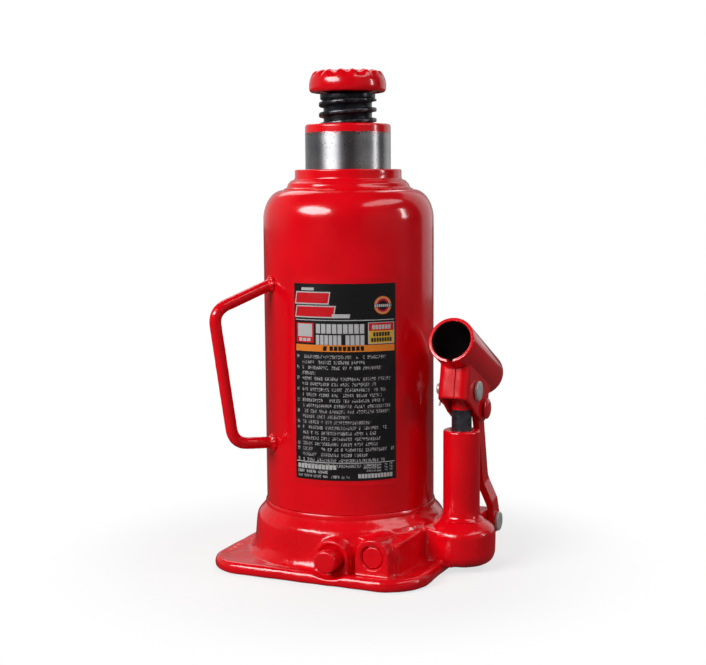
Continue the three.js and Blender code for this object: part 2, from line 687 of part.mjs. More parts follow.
// drawn level, with the plunger pin at the origin and the tube above it
function handleSocket() {
  const { radius, bore, lift, front, back } = SOCKET;
  const { half, wall, corner, roomBack } = YOKE;
  const [rivetY, rivetZ] = rivetOnSocket();
  const tube = rod(radius, front, back, 'y', [0, 0, lift], BIG);
  const cheeks = yokeBlank(half, YOKE.front, corner, 2 * back).intersect(yokeSide());
  return cut(
    joined(tube, cheeks),
    rod(bore, front - 1, back + 1, 'y', [0, 0, lift], BIG),
    yokeBlank(half - wall, YOKE.front + wall, corner - wall, roomBack),
    rod(PIN.hole, -2 * half, 2 * half, 'x', [0, 0, 0], SMALL),
    rod(RIVET.shank + GAP, -2 * half, 2 * half, 'x', [0, rivetY, rivetZ], SMALL),
  );
}

function linkRivet() {
  const face = YOKE.half + GAP;
  const { shank, head, headThick, dome } = RIVET;
  return turned([
    [0, -face - headThick],
    [head - dome, -face - headThick + 0.2],
    [head, -face],
    [shank, -face],
    [shank, face],
    [head, face],
    [head - dome, face + headThick - 0.2],
    [0, face + headThick],
  ], 'x', [PUMP_X, RIVET.y, RIVET.z], 16);
}

// drawn upright from the lug pin at the origin; side is -1 or +1
function linkPlate(side, length) {
  const { width, thick, inner, lowEnd, eye, jogLow, jogHigh } = LINK;
  const wide = LUG.half + GAP + 0.1;
  const top = length + eye;
  const bent = new THREE.Shape();
  bent.moveTo(wide, -lowEnd);
  bent.lineTo(wide + thick, -lowEnd);
  bent.lineTo(wide + thick, jogLow);
  bent.lineTo(inner + thick, jogHigh + 2);
  bent.lineTo(inner + thick, top + 1);
  bent.lineTo(inner, top + 1);
  bent.lineTo(inner, jogHigh);
  bent.lineTo(wide, jogLow - 2);
  bent.closePath();
  const depth = 2 * lowEnd + 2;
  const strip = new THREE.ExtrudeGeometry(bent, { depth, bevelEnabled: false });
  strip.rotateX(Math.PI / 2);
  strip.translate(0, depth / 2, 0);
  if (side < 0) {
    strip.rotateZ(Math.PI);
  }
  const face = new THREE.Shape();
  face.absarc(0, 0, lowEnd, Math.PI, 2 * Math.PI, false);
  face.lineTo(width / 2, lowEnd + 4);
  face.lineTo(width / 2, length - 7);
  face.absarc(0, length, eye, -0.5, Math.PI + 0.5, false);
  face.lineTo(-width / 2, length - 7);
  face.lineTo(-width / 2, lowEnd + 4);
  face.lineTo(-lowEnd, 0);
  face.closePath();
  const blank = pushedAcross(face, -20, 20, 7);
  return cut(
    solid(strip).intersect(blank),
    rod(PIN.hole, -20, 20, 'x', [0, 0, 0], SMALL),
    rod(LINK_SLOP.hole, -20, 20, 'x', [0, 0, length + LINK_SLOP.along], SMALL),
  );
}

// ---- valves ----

function releaseStem() {
  const { stem, collar, collarEnd, tip } = RELEASE;
  const { edge, flat, nose } = RELEASE_END;
  const at = [VALVE.x, 0, VALVE.z];
  const noseY = RELEASE.seat - Math.sqrt(RELEASE_BALL ** 2 - RELEASE.hole ** 2) - RELEASE_BALL - 2 * GAP;
  const body = turned([
    [0, tip],
    [collar - edge, tip],
    [collar, tip + edge],
    [collar, VALVE.recessY - GAP],
    [stem, VALVE.recessY - GAP],
    [stem, RELEASE_GROOVE.from],
    [stem - RELEASE_GROOVE.depth, RELEASE_GROOVE.from],
    [stem - RELEASE_GROOVE.depth, RELEASE_GROOVE.to],
    [stem, RELEASE_GROOVE.to],
    [stem, VALVE.boreEnd - 1],
    [nose, VALVE.boreEnd - 0.4],
    [nose, noseY],
    [0, noseY],
  ], 'y', at, SMALL);
  const sides = [-1, 1].map((side) => {
    const [near, far] = [VALVE.x + side * flat, VALVE.x + side * 2 * collar];
    return block([Math.min(near, far), tip - 1, 0], [Math.max(near, far), collarEnd, 2 * VALVE.z]);
  });
  return cut(body, ...sides);
}

function valveSpring(radius, wireRadius, turns, from, to, at) {
  const curve = new (class extends THREE.Curve {
    getPoint(t) {
      const angle = 2 * Math.PI * turns * t;
      const y = from + (to - from) * t;
      return new THREE.Vector3(at[0] + radius * Math.cos(angle), y, at[1] + radius * Math.sin(angle));
    }
  })();
  return wire(curve, wireRadius, turns * 8, 6);
}

// ---- assembly ----

const group = new THREE.Group();

function buildBase() {
  const onPump = [PUMP_X, 0, 0];
  const inPort = [PORT.x, 0, PORT.z];
  const safetyBallY = PORT.seat - Math.sqrt(BALL ** 2 - SUCTION.hole ** 2) - 0.05;
  const lugTail = -(LUG.half + LINK.thick + 5);
  group.add(
    named('base_casting', baseCasting(), RED),
    named('tank_gasket', ring(SPIGOT.outer + GAP, SHELL.radius - 0.5, 31.6, 32.6, 'z', [0, 0, 0], BIG), RUBBER),
    named('cylinder_gasket', ring(TUBE.bore + GAP, TUBE.radius - 0.2, 20.2, 21), COPPER),
    named('cylinder_tube', ring(TUBE.bore, TUBE.radius, TUBE.bottom, TUBE.top, 'z', [0, 0, 0], BIG), BARE_STEEL),
    named('reservoir_shell', reservoirShell(), RED),
    named('top_nut', topNut(), RED),
    named('top_nut_seal', ring(NUT.skirt - 1.6, NUT.skirt + 0.2, 198.9, 200.5, 'z', [0, 0, 0], BIG), RUBBER),
    named('ram_wiper', ring(WIPER.inner, WIPER.outer, WIPER.bottom, WIPER.top, 'z', [0, 0, 0], BIG), RUBBER),
    named('filler_plug', fillerPlug(), RUBBER),
    named('label', label(), PRINT),
    named('carry_handle', carryHandle(), RED),
    named('pump_cylinder', pumpCylinder(), RED),
    named('pump_gasket', ring(PUMP.bore + 0.2, PUMP.spigot, 14.1, 15, 'z', onPump), COPPER),
    named('pump_seal', ring(PUMP.bore + 0.1, PUMP.bore + 1.4, PUMP.top - 6.7, PUMP.top - 4.3, 'z', onPump), RUBBER),
    named('lug_pin', clevisPin(LUG.half + LINK.thick + 2 * GAP, lugTail, [LUG.y, LUG.z]), ZINC),
    named('lug_cotter', cotter(PUMP_X + lugTail + 2.2, LUG.y, LUG.z), ZINC),
    named('port_plug', rod(PORT.recess - GAP, PORT.face + 0.8, PORT.recessY - 0.1, 'y', inPort, SMALL), RED),
    named('safety_screw', rod(PORT.bore - GAP, -50, -44, 'y', inPort, SMALL), BLACK_STEEL),
    named('safety_spring', valveSpring(1.9, 0.4, 4, -43.4, safetyBallY - BALL - 0.5, [PORT.x, PORT.z]), BARE_STEEL),
    named('safety_ball', ball(BALL, [PORT.x, safetyBallY, PORT.z]), BARE_STEEL),
    named('delivery_stop', ring(DELIVERY.hole, DELIVERY.mouth - GAP, 19.1, 19.8, 'z', [DELIVERY.x, 0, 0], SMALL),
      BLACK_STEEL),
  );
}

function buildValves() {
  const suctionZ = SUCTION.seat + Math.sqrt(BALL ** 2 - SUCTION.hole ** 2) + 0.05;
  const deliveryZ = DELIVERY.seat + Math.sqrt(BALL ** 2 - DELIVERY.hole ** 2) + 0.05;
  const releaseY = RELEASE.seat - Math.sqrt(RELEASE_BALL ** 2 - RELEASE.hole ** 2) - 0.05;
  const onValve = [VALVE.x, 0, VALVE.z];
  group.add(
    named('suction_ball', ball(BALL, [PUMP_X, 0, suctionZ]), BARE_STEEL),
    named('delivery_ball', ball(BALL, [DELIVERY.x, 0, deliveryZ]), BARE_STEEL),
    named('release_ball', ball(RELEASE_BALL, [VALVE.x, releaseY, VALVE.z]), BARE_STEEL),
    named('release_valve_stem', releaseStem(), RED),
    named('release_o_ring', ring(4, RELEASE.stem + 0.15, -50.2, -48, 'y', onValve, SMALL), RUBBER),
  );
}

function buildRam() {
  group.add(
    named('ram', ram(), BARE_STEEL),
    named('piston_cup', ring(RAM.spigot + GAP, RAM.piston, 43.6, RAM.pistonZ - 0.2, 'z', [0, 0, 0], BIG), RUBBER),
    named('piston_retainer', ring(RAM.spigot + GAP, RAM.piston - 1.2, RAM.bottom + 0.2, 43.3, 'z', [0, 0, 0], BIG),
      BLACK_STEEL),
    named('screw_stop_ring', screwStopRing(), BLACK_STEEL),
    named('extension_screw', extensionScrew(), BLACK_STEEL),
    named('saddle', saddle(), RED),
  );
}

function buildPumpLever() {
  const plungerTail = -(YOKE.half + 5);
  const [sealInner, sealOuter] = [PLUNGER.radius - 0.9, PLUNGER.radius + 0.15];
  const sealZ = PLUNGER.bottom + 3.3;
  group.add(
    named('pump_plunger', pumpPlunger(), BLACK_STEEL),
    named('plunger_seal', ring(sealInner, sealOuter, sealZ, sealZ + 2.4, 'z', [PUMP_X, 0, 0]), RUBBER),
    named('plunger_pin', clevisPin(YOKE.half + GAP, plungerTail, [0, PIN_Z]), ZINC),
    named('plunger_cotter', cotter(PUMP_X + plungerTail + 2.2, 0, PIN_Z), ZINC),
    named('link_rivet', linkRivet(), RED),
  );

  const tilted = new THREE.Group();
  tilted.position.set(PUMP_X, 0, PIN_Z);
  tilted.rotation.x = -TILT;
  tilted.add(named('handle_socket', handleSocket(), RED));
  group.add(tilted);

  const [dy, dz] = [LUG.y - RIVET.y, RIVET.z - LUG.z];
  const leaning = new THREE.Group();
  leaning.position.set(PUMP_X, LUG.y, LUG.z);
  leaning.rotation.x = Math.atan2(dy, dz);
  leaning.add(named('link_plate_left', linkPlate(-1, Math.hypot(dy, dz)), RED));
  leaning.add(named('link_plate_right', linkPlate(1, Math.hypot(dy, dz)), RED));
  group.add(leaning);
}

buildBase();
buildValves();
buildRam();
buildPumpLever();

export default group;
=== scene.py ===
import json
import math

import bmesh
import bpy
from mathutils import Matrix, Vector, noise


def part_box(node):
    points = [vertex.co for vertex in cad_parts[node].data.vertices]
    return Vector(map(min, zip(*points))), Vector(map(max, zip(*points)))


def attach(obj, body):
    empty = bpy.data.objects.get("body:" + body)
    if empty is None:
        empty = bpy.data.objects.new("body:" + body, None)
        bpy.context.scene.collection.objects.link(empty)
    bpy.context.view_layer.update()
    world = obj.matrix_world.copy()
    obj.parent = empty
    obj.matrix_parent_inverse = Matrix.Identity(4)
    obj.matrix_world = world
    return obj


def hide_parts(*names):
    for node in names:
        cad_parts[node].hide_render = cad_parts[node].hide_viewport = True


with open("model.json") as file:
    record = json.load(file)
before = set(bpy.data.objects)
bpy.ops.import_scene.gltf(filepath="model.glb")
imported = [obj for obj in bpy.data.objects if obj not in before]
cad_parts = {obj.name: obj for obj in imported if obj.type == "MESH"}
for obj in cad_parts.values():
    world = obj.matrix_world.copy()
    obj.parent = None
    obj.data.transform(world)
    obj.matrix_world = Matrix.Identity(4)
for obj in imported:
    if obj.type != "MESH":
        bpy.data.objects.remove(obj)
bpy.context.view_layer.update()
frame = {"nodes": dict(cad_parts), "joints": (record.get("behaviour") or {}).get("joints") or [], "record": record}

# ---- where things are, mm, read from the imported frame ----

MM = 0.001


def span(node):
    low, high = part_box(node)
    return low / MM, high / MM


def centre(node):
    low, high = span(node)
    return (low + high) / 2


def pivot(joint):
    found = next(j for j in frame["joints"] if j["name"] == joint)
    return Vector(found["pos_m"]) / MM


SHELL_LOW, SHELL_HIGH = span("reservoir_shell")
SHELL_R = SHELL_HIGH.x
NUT_TOP = span("top_nut")[1].z
RAM_LOW, RAM_HIGH = span("ram")
RAM_R = 23.0
SCREW_LOW, SCREW_HIGH = span("extension_screw")
SADDLE_LOW, SADDLE_HIGH = span("saddle")
PUMP_LOW, PUMP_HIGH = span("pump_cylinder")
PLUNGER_LOW, PLUNGER_HIGH = span("pump_plunger")
PUMP_X = pivot("socket_tilt").x
PIN_Z = pivot("socket_tilt").z
LUG = pivot("link_swing")
RIVET = centre("link_rivet")
VALVE = pivot("release_turn")
PORT = centre("port_plug")
FILLER = centre("filler_plug")
LABEL_LOW, LABEL_HIGH = span("label")
SLOTS = {part["node"]: part["material_slot"] for part in frame["record"]["subparts"]}

PLATE_HALF = -span("base_casting")[0].x
TILT = math.radians(25.8)
HANDLE_TURN = math.radians(-129)
LABEL_TURN = math.radians(-69.4)
LABEL_HALF = math.radians(34)
GAP = 0.3
STUB_R = 6.1
PIN_HOLE = 3.3
WIDE = 90  # reaches past the foot on every side
PITCH = 5.5
SCREW_CREST = 15.5
SCREW_ROOT = 13.0
SCREW_START = 162.55

# ---- mesh helpers, mm ----

FINE = 144
ROUND = 72
TURN = {
    "Z": Matrix.Identity(4),
    "X": Matrix(((0, 0, 1), (1, 0, 0), (0, 1, 0))).to_4x4(),
    "Y": Matrix(((0, 1, 0), (0, 0, 1), (1, 0, 0))).to_4x4(),
}


def made(verts, faces, axis="Z", at=(0, 0, 0), weld=False):
    mesh = bpy.data.meshes.new("work")
    mesh.from_pydata([tuple(v) for v in verts], [], faces)
    mesh.transform(Matrix.Translation(at) @ TURN[axis])
    work = bmesh.new()
    work.from_mesh(mesh)
    if weld:
        bmesh.ops.remove_doubles(work, verts=work.verts, dist=1e-4)
    bmesh.ops.recalc_face_normals(work, faces=work.faces)
    work.to_mesh(mesh)
    work.free()
    return mesh


def eased(points, steps=6, shut=False):
    """An outline whose points (a, b, corner) are rounded over the length `corner` on each side."""
    out = []
    for i, point in enumerate(points):
        here = Vector(point[:2])
        if len(point) < 3:
            out.append(tuple(here))
            continue
        before = Vector(points[i - 1][:2]) - here
        after = Vector(points[(i + 1) % len(points)][:2]) - here
        start = here + before.normalized() * min(point[2], 0.49 * before.length)
        end = here + after.normalized() * min(point[2], 0.49 * after.length)
        for k in range(steps + 1):
            t = k / steps
            out.append(tuple(start.lerp(here, t).lerp(here.lerp(end, t), t)))
    if shut:
        out.append(out[0])
    return out


def lathe(outline, axis="Z", at=(0, 0, 0), segments=ROUND):
    """A turned body. The outline starts and ends on the axis, or ends where it starts."""
    shut = outline[0] == outline[-1]
    verts, faces, rings = [], [], []
    for radius, height in outline[:-1] if shut else outline:
        count = 1 if radius < 1e-6 else segments
        rings.append(range(len(verts), len(verts) + count))
        for i in range(count):
            turn = 2 * math.pi * i / segments
            verts.append((radius * math.cos(turn), radius * math.sin(turn), height))
    if shut:
        rings.append(rings[0])
    for low, high in zip(rings, rings[1:]):
        for i in range(segments):
            j = (i + 1) % segments
            corners = (low[i % len(low)], low[j % len(low)], high[j % len(high)], high[i % len(high)])
            face = list(dict.fromkeys(corners))
            if len(face) > 2:
                faces.append(face)
    return made(verts, faces, axis, at)


def stepped(start, stages, axis="Z", at=(0, 0, 0), segments=ROUND):
    """Round rods end to end; each stage is a radius and where it stops along the axis."""
    outline = [(0, start)]
    for radius, stop in stages:
        outline += [(radius, outline[-1][1]), (radius, stop)]
    return lathe([*outline, (0, outline[-1][1])], axis, at, segments)


def rod(radius, low, high, axis="Z", at=(0, 0, 0), segments=ROUND):
    return stepped(low, [(radius, high)], axis, at, segments)


def prism(outline, low, high, axis="Z", at=(0, 0, 0)):
    count = len(outline)
    verts = [(u, v, w) for w in (low, high) for u, v in outline]
    faces = [list(range(count)), list(range(count, 2 * count))]
    for i in range(count):
        j = (i + 1) % count
        faces.append([i, j, count + j, count + i])
    return made(verts, faces, axis, at)


def block(low, high):
    outline = [(low[0], low[1]), (high[0], low[1]), (high[0], high[1]), (low[0], high[1])]
    return prism(outline, low[2], high[2])


def arc_points(x, y, radius, start, end, steps=16):
    """Points on an arc from start to end, in degrees."""
    out = []
    for k in range(steps + 1):
        turn = math.radians(start + (end - start) * k / steps)
        out.append((x + radius * math.cos(turn), y + radius * math.sin(turn)))
    return out


def rounded_square(half, corner, steps):
    reach = half - corner
    out = []
    for x, y, turn in ((1, 1, 0), (-1, 1, 90), (-1, -1, 180), (1, -1, 270)):
        out += arc_points(x * reach, y * reach, corner, turn, turn + 90, steps)
    return out


def lofted(rings):
    """A body through stacked rings of equal count, closed by a fan at each end."""
    count = len(rings[0])
    verts = [point for ring in rings for point in ring]
    faces = []
    for k in range(len(rings) - 1):
        for i in range(count):
            j = (i + 1) % count
            faces.append([k * count + i, k * count + j, (k + 1) * count + j, (k + 1) * count + i])
    for ring, first in ((rings[0], 0), (rings[-1], (len(rings) - 1) * count)):
        middle = len(verts)
        verts.append(tuple(sum(p[a] for p in ring) / count for a in range(3)))
        faces.extend([first + i, first + (i + 1) % count, middle] for i in range(count))
    return made(verts, faces)


def swept(path, radius, sides=24):
    """A round bar along a list of points, with flat ends."""
    path = [Vector(p) for p in path]
    tangents = []
    for i in range(len(path)):
        tangents.append((path[min(i + 1, len(path) - 1)] - path[max(i - 1, 0)]).normalized())
    side = tangents[0].orthogonal().normalized()
    rings = []
    for i, point in enumerate(path):
        if i:
            side = tangents[i - 1].rotation_difference(tangents[i]) @ side
        other = tangents[i].cross(side)
        ring = []
        for k in range(sides):
            turn = 2 * math.pi * k / sides
            ring.append(tuple(point + side * (radius * math.cos(turn)) + other * (radius * math.sin(turn))))
        rings.append(ring)
    return lofted(rings)


def bent(points, corner, steps=10):
    """A straight-sided path in space with its corners rounded."""
    points = [Vector(p) for p in points]
    out = [points[0]]
    for before, here, after in zip(points, points[1:], points[2:]):
        start = here + (before - here).normalized() * corner
        end = here + (after - here).normalized() * corner
        for k in range(steps + 1):
            t = k / steps
            out.append(start.lerp(here, t).lerp(here.lerp(end, t), t))
    out.append(points[-1])
    return out


def smooth_path(points, steps=8):
    """A Catmull-Rom curve through points."""
    points = [Vector(p) for p in points]
    padded = [2 * points[0] - points[1], *points, 2 * points[-1] - points[-2]]
    out = []
    for a, b, c, d in zip(padded, padded[1:], padded[2:], padded[3:]):
        for k in range(steps):
            t = k / steps
            square, cube = 2 * a - 5 * b + 4 * c - d, 3 * b - a - 3 * c + d
            out.append(0.5 * (2 * b + (c - a) * t + square * t * t + cube * t**3))
    out.append(points[-1])
    return out


def lump(at, radius):
    work = bmesh.new()
    bmesh.ops.create_icosphere(work, subdivisions=3, radius=radius)
    mesh = bpy.data.meshes.new("work")
    work.to_mesh(mesh)
    work.free()
    mesh.transform(Matrix.Translation(at))
    return mesh


def thread(start, turns, root, crest, widths, columns=96):
    """A right-hand screw thread with eased corners, closed to the axis at each end."""
    low, rise, flat = widths
    top = low + rise + flat
    profile = [
        (0, root), (low - 0.25, root), (low + 0.1, root + 0.2), (low + rise - 0.1, crest - 0.35),
        (low + rise + 0.25, crest), (top - 0.25, crest), (top + 0.1, crest - 0.35),
        (PITCH - 0.15, root + 0.2),
    ]
    per_turn = len(profile)
    rows = per_turn * turns
    verts = []
    for row in range(rows + 1):
        lift, radius = profile[row % per_turn]
        for column in range(columns + 1):
            turn = 2 * math.pi * column / columns
            height = start + PITCH * (row // per_turn + column / columns) + lift
            verts.append((radius * math.cos(turn), radius * math.sin(turn), height))
    wide = columns + 1
    faces = []
    for row in range(rows):
        for column in range(columns):
            a = row * wide + column
            faces.append([a, a + 1, a + 1 + wide, a + wide])
    bottom, top_point = len(verts), len(verts) + 1
    verts.append((0, 0, start))
    verts.append((0, 0, start + PITCH * (turns + 1)))
    for column in range(columns):
        faces.append([bottom, column + 1, column])
        last = rows * wide + column
        faces.append([top_point, last, last + 1])
    for row in range(per_turn):
        faces.append([bottom, row * wide, (row + 1) * wide])
        high = (rows - per_turn + row) * wide + columns
        faces.append([top_point, high + wide, high])
    return made(verts, faces, weld=True)


def evaluated(mesh, *modifiers):
    """The mesh after a stack of (type, settings) modifiers."""
    holder = bpy.data.objects.new("holder", mesh)
    bpy.context.scene.collection.objects.link(holder)
    for kind, settings in modifiers:
        modifier = holder.modifiers.new(kind, kind)
        for key, value in settings.items():
            setattr(modifier, key, value)
    graph = bpy.context.evaluated_depsgraph_get()
    result = bpy.data.meshes.new_from_object(holder.evaluated_get(graph), depsgraph=graph)
    bpy.data.objects.remove(holder)
    return result


def boolean(mesh, tool, operation):
    other = bpy.data.objects.new("tool", tool)
    bpy.context.scene.collection.objects.link(other)
    result = evaluated(mesh, ("BOOLEAN", {"object": other, "operation": operation, "solver": "MANIFOLD"}))
    bpy.data.objects.remove(other)
    return result


def joined(first, *others):
    for other in others:
        first = boolean(first, other, "UNION")
    return first


def cut(mesh, *tools):
    for tool in tools:
        mesh = boolean(mesh, tool, "DIFFERENCE")
    return mesh


def softened(mesh, voxel, passes):
    """The same body as one even skin whose edges and inner corners are eased."""
    return evaluated(
        mesh,
        ("REMESH", {"mode": "VOXEL", "voxel_size": voxel}),
        ("SMOOTH", {"factor": 0.5, "iterations": passes}),
    )


def uneven(mesh, size, depth, seed, where=None, squash=1.0):
    """Moves the skin in and out by smooth noise; `squash` makes the noise finer along Z."""
    shift = Vector((17.3, 5.1, 9.7)) * seed
    scale = Vector((1 / size, 1 / size, squash / size))
    moves = []
    for vertex in mesh.vertices:
        amount = depth * noise.noise(vertex.co * scale + shift)
        if where:
            amount *= where(vertex.co)
        moves.append(vertex.normal * amount)
    for vertex, move in zip(mesh.vertices, moves):
        vertex.co += move
    return mesh


def step(value, low, high):
    t = min(1.0, max(0.0, (value - low) / (high - low)))
    return t * t * (3 - 2 * t)


def piece(name, mesh, material, body, node=None, crease=40):
    """A finished piece: mesh in mm becomes an object in metres that rides on its body."""
    mesh.transform(Matrix.Scale(MM, 4))
    mesh.name = name
    picked = [face.material_index for face in mesh.polygons]
    mesh.materials.clear()
    for one in material if isinstance(material, list) else [material]:
        mesh.materials.append(one)
    mesh.polygons.foreach_set("material_index", picked)
    mesh.shade_smooth()
    mesh.set_sharp_from_angle(angle=math.radians(crease))
    shown = bpy.data.objects.new(name, mesh)
    bpy.context.scene.collection.objects.link(shown)
    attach(shown, body)
    if node:
        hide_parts(node)


# ---- material helpers ----


def feed(socket, value):
    """Links a node input to a socket or field, or sets it to a plain value."""
    if isinstance(value, Field):
        value = value.socket
    if isinstance(value, bpy.types.NodeSocket):
        socket.id_data.links.new(value, socket)
    elif socket.type == "RGBA":
        socket.default_value = (*value, 1)
    else:
        socket.default_value = value


def add_node(tree, kind, **inputs):
    node = tree.nodes.new("ShaderNode" + kind)
    for name, value in inputs.items():
        feed(node.inputs[name.replace("_", " ")], value)
    return node


class Field:
    """A number worked out at each shaded point; sums on it add Math nodes."""

    def __init__(self, socket):
        self.socket = socket

    def math(self, operation, *others):
        node = add_node(self.socket.id_data, "Math")
        node.operation = operation
        for socket, value in zip(node.inputs, (self, *others)):
            feed(socket, value)
        return Field(node.outputs[0])

    def __add__(self, other):
        return self.math("ADD", other)

    def __sub__(self, other):
        return self.math("SUBTRACT", other)

    def __mul__(self, other):
        return self.math("MULTIPLY", other)

    def __truediv__(self, other):
        return self.math("DIVIDE", other)

    def above(self, other):
        return self.math("GREATER_THAN", other)

    def below(self, other):
        return self.math("LESS_THAN", other)

    def near(self, middle, reach):
        return self.math("COMPARE", middle, reach)

    def floor(self):
        return self.math("FLOOR")

    def fract(self):
        return self.math("FRACT")

    def ramp(self, low, high):
        """0 below low, 1 above high, smooth between."""
        node = add_node(self.socket.id_data, "MapRange", Value=self, From_Min=low, From_Max=high)
        node.interpolation_type = "SMOOTHSTEP"
        return Field(node.outputs["Result"])


class Finish:
    """One node material, built in metres on the piece's rest place."""

    def __init__(self, name):
        self.material = bpy.data.materials.new(name)
        self.material.use_nodes = True
        self.tree = self.material.node_tree
        self.tree.nodes.clear()
        self.shader = self.add("BsdfPrincipled")
        self.add("OutputMaterial", Surface=self.shader.outputs[0])
        self.place = self.add("TexCoord").outputs["Object"]
        self.relief = None

    def add(self, kind, **inputs):
        return add_node(self.tree, kind, **inputs)

    def set(self, **values):
        for name, value in values.items():
            feed(self.shader.inputs[name.replace("_", " ")], value)

    def axes(self):
        return [Field(out) for out in self.add("SeparateXYZ", Vector=self.place).outputs]

    def texture(self, kind, size, stretch, **inputs):
        mapping = self.add("Mapping", Vector=self.place, Scale=stretch)
        return self.add(kind, Vector=mapping.outputs[0], Scale=1 / size, **inputs)

    def noise(self, size, detail=3.0, roughness=0.5, stretch=(1, 1, 1)):
        """Noise with features of about `size` metres."""
        return Field(self.texture("TexNoise", size, stretch, Detail=detail, Roughness=roughness).outputs[0])

    def cells(self, size, stretch=(1, 1, 1)):
        """Distance to the nearest of scattered points about `size` metres apart, 0 at a point."""
        return Field(self.texture("TexVoronoi", size, stretch).outputs["Distance"])

    def chance(self, x, y):
        """A random number from 0 to 1 for each pair of whole numbers."""
        pair = self.add("CombineXYZ", X=x, Y=y)
        return Field(self.add("TexWhiteNoise", Vector=pair.outputs[0]).outputs["Value"])

    def edges(self):
        """Above 0.5 on outer edges and below it in hollows."""
        return Field(self.add("NewGeometry").outputs["Pointiness"])

    def mix(self, share, low, high):
        """A colour from low to high; each is a colour or the output of another mix."""
        node = self.add("Mix")
        node.data_type = "RGBA"
        for place, value in ((0, share), (6, low), (7, high)):
            feed(node.inputs[place], value)
        return node.outputs[2]

    def bump(self, field, depth):
        """Adds relief of `depth` metres to what was bumped before."""
        node = self.add("Bump", Strength=1.0, Distance=depth, Height=field)
        if self.relief:
            feed(node.inputs["Normal"], self.relief)
        self.relief = node.outputs[0]
        self.set(Normal=self.relief)


# ---- finishes ----

RED_DEEP = (0.74, 0.0008, 0.0065)
RED = (0.86, 0.0010, 0.0080)
# paler red painted on the outer edges as a highlight
RED_EDGE_HIGHLIGHT = (0.84, 0.005, 0.013)
OXIDE_SHADES = ((0.016, 0.017, 0.022), (0.040, 0.042, 0.050))


def enamel_colour(finish):
    drift = finish.noise(0.03, 3)
    colour = finish.mix(drift.ramp(0.3, 0.7), RED_DEEP, RED)
    # painted highlight: outer edges turn a paler red in patches, as if catching the light
    edge_highlight = finish.edges().ramp(0.53, 0.62) * finish.noise(0.004, 4).ramp(0.35, 0.6)
    return finish.mix(edge_highlight, colour, RED_EDGE_HIGHLIGHT)


def enamel_gloss(finish, grain):
    """Roughness with handling smudges and dust, for a glossy coat of paint."""
    smudge = finish.noise(0.018, 4).ramp(0.4, 0.75)
    dust = finish.noise(0.0006, 2).ramp(0.66, 0.74)
    finish.set(Roughness=smudge * 0.07 + dust * 0.12 + grain, IOR=1.5, Coat_Weight=0.35, Coat_Roughness=0.06)


def red_enamel():
    finish = Finish("red_enamel_finish")
    finish.set(Base_Color=enamel_colour(finish))
    enamel_gloss(finish, 0.15)
    finish.bump(finish.noise(0.0035, 2), 0.00005)
    finish.bump(finish.noise(0.0009, 2), 0.00001)
    return finish.material


def cast_enamel():
    finish = Finish("cast_enamel_finish")
    finish.set(Base_Color=enamel_colour(finish))
    enamel_gloss(finish, 0.19)
    pits = finish.cells(0.004).ramp(0.0, 0.22)
    finish.bump(finish.noise(0.009, 3), 0.0004)
    finish.bump(finish.noise(0.0022, 3), 0.00012)
    finish.bump(pits, 0.00004)
    return finish.material


def plain_steel():
    """Turned metal: fine rings round Z, a few pits and a slight cloud of oil."""
    finish = Finish("turned_steel_finish")
    rings = finish.noise(0.0005, 5, 0.65, (0.02, 0.02, 1))
    cloud = finish.noise(0.012, 4)
    pits = finish.cells(0.0028, (1, 1, 0.8)).below(0.10) * finish.noise(0.008, 2).above(0.56)
    colour = finish.mix(rings.ramp(0.3, 0.7), (0.38, 0.375, 0.37), (0.6, 0.59, 0.58))
    colour = finish.mix(pits, colour, (0.03, 0.028, 0.027))
    rough = cloud.ramp(0.3, 0.8) * 0.1 + rings * 0.12 + 0.22
    finish.set(Base_Color=colour, Metallic=1.0, Roughness=rough)
    finish.bump(rings, 0.00001)
    return finish.material


def ram_steel():
    """Bare ground steel with the paint that ran over its upper edge."""
    finish = Finish("ram_steel_finish")
    rings = finish.noise(0.0011, 4, 0.6, (0.03, 0.03, 1))
    cloud = finish.noise(0.010, 4)
    specks = finish.cells(0.0012).below(0.20) * finish.noise(0.005, 2).above(0.47)
    steel = finish.mix(cloud.ramp(0.3, 0.7), (0.36, 0.36, 0.375), (0.47, 0.465, 0.48))
    steel = finish.mix(rings.ramp(0.60, 0.80) * 0.45, steel, (0.20, 0.195, 0.20))
    steel = finish.mix(specks, steel, (0.05, 0.045, 0.045))
    ragged = finish.noise(0.0016, 4) * 0.0011 + finish.noise(0.008, 2) * 0.0012
    z = finish.axes()[2]
    painted = (z + ragged).above((RAM_HIGH.z - 3.3) * MM)
    smear = (z + ragged * 2.5).above((RAM_HIGH.z - 3.0) * MM) * finish.noise(0.0007, 3).ramp(0.52, 0.62)
    tinted = finish.mix(smear, steel, (0.42, 0.05, 0.05))
    clean = painted * -1.0 + 1.0
    finish.set(
        Base_Color=finish.mix(painted, tinted, RED),
        Metallic=clean,
        Roughness=(cloud * 0.08 + rings * 0.06 + 0.30) * clean + painted * 0.2,
        Coat_Weight=painted * 0.35,
        Anisotropic=clean * 0.7,
        Anisotropic_Rotation=0.25,
    )
    finish.bump(rings, 0.000006)
    tangent = finish.add("Tangent")
    tangent.direction_type = "RADIAL"
    tangent.axis = "Z"
    finish.set(Tangent=tangent.outputs[0])
    return finish.material


def clouded(name, size, detail, tones, rough, drift=0.2, ramp=(0.3, 0.7), relief=None, **more):
    """A finish whose colour and roughness drift together; relief is a size, a detail and a depth."""
    finish = Finish(name)
    cloud = finish.noise(size, detail)
    colour = finish.mix(cloud.ramp(*ramp) if ramp else cloud, *tones)
    finish.set(Base_Color=colour, Roughness=cloud * drift + rough, **more)
    if relief:
        finish.bump(finish.noise(*relief[:2]), relief[2])
    return finish.material


def zinc():
    tones = (0.62, 0.61, 0.59), (0.82, 0.80, 0.76)
    return clouded("zinc_finish", 0.004, 4, tones, 0.34, relief=(0.0012, 3, 0.00004), Metallic=0.45)


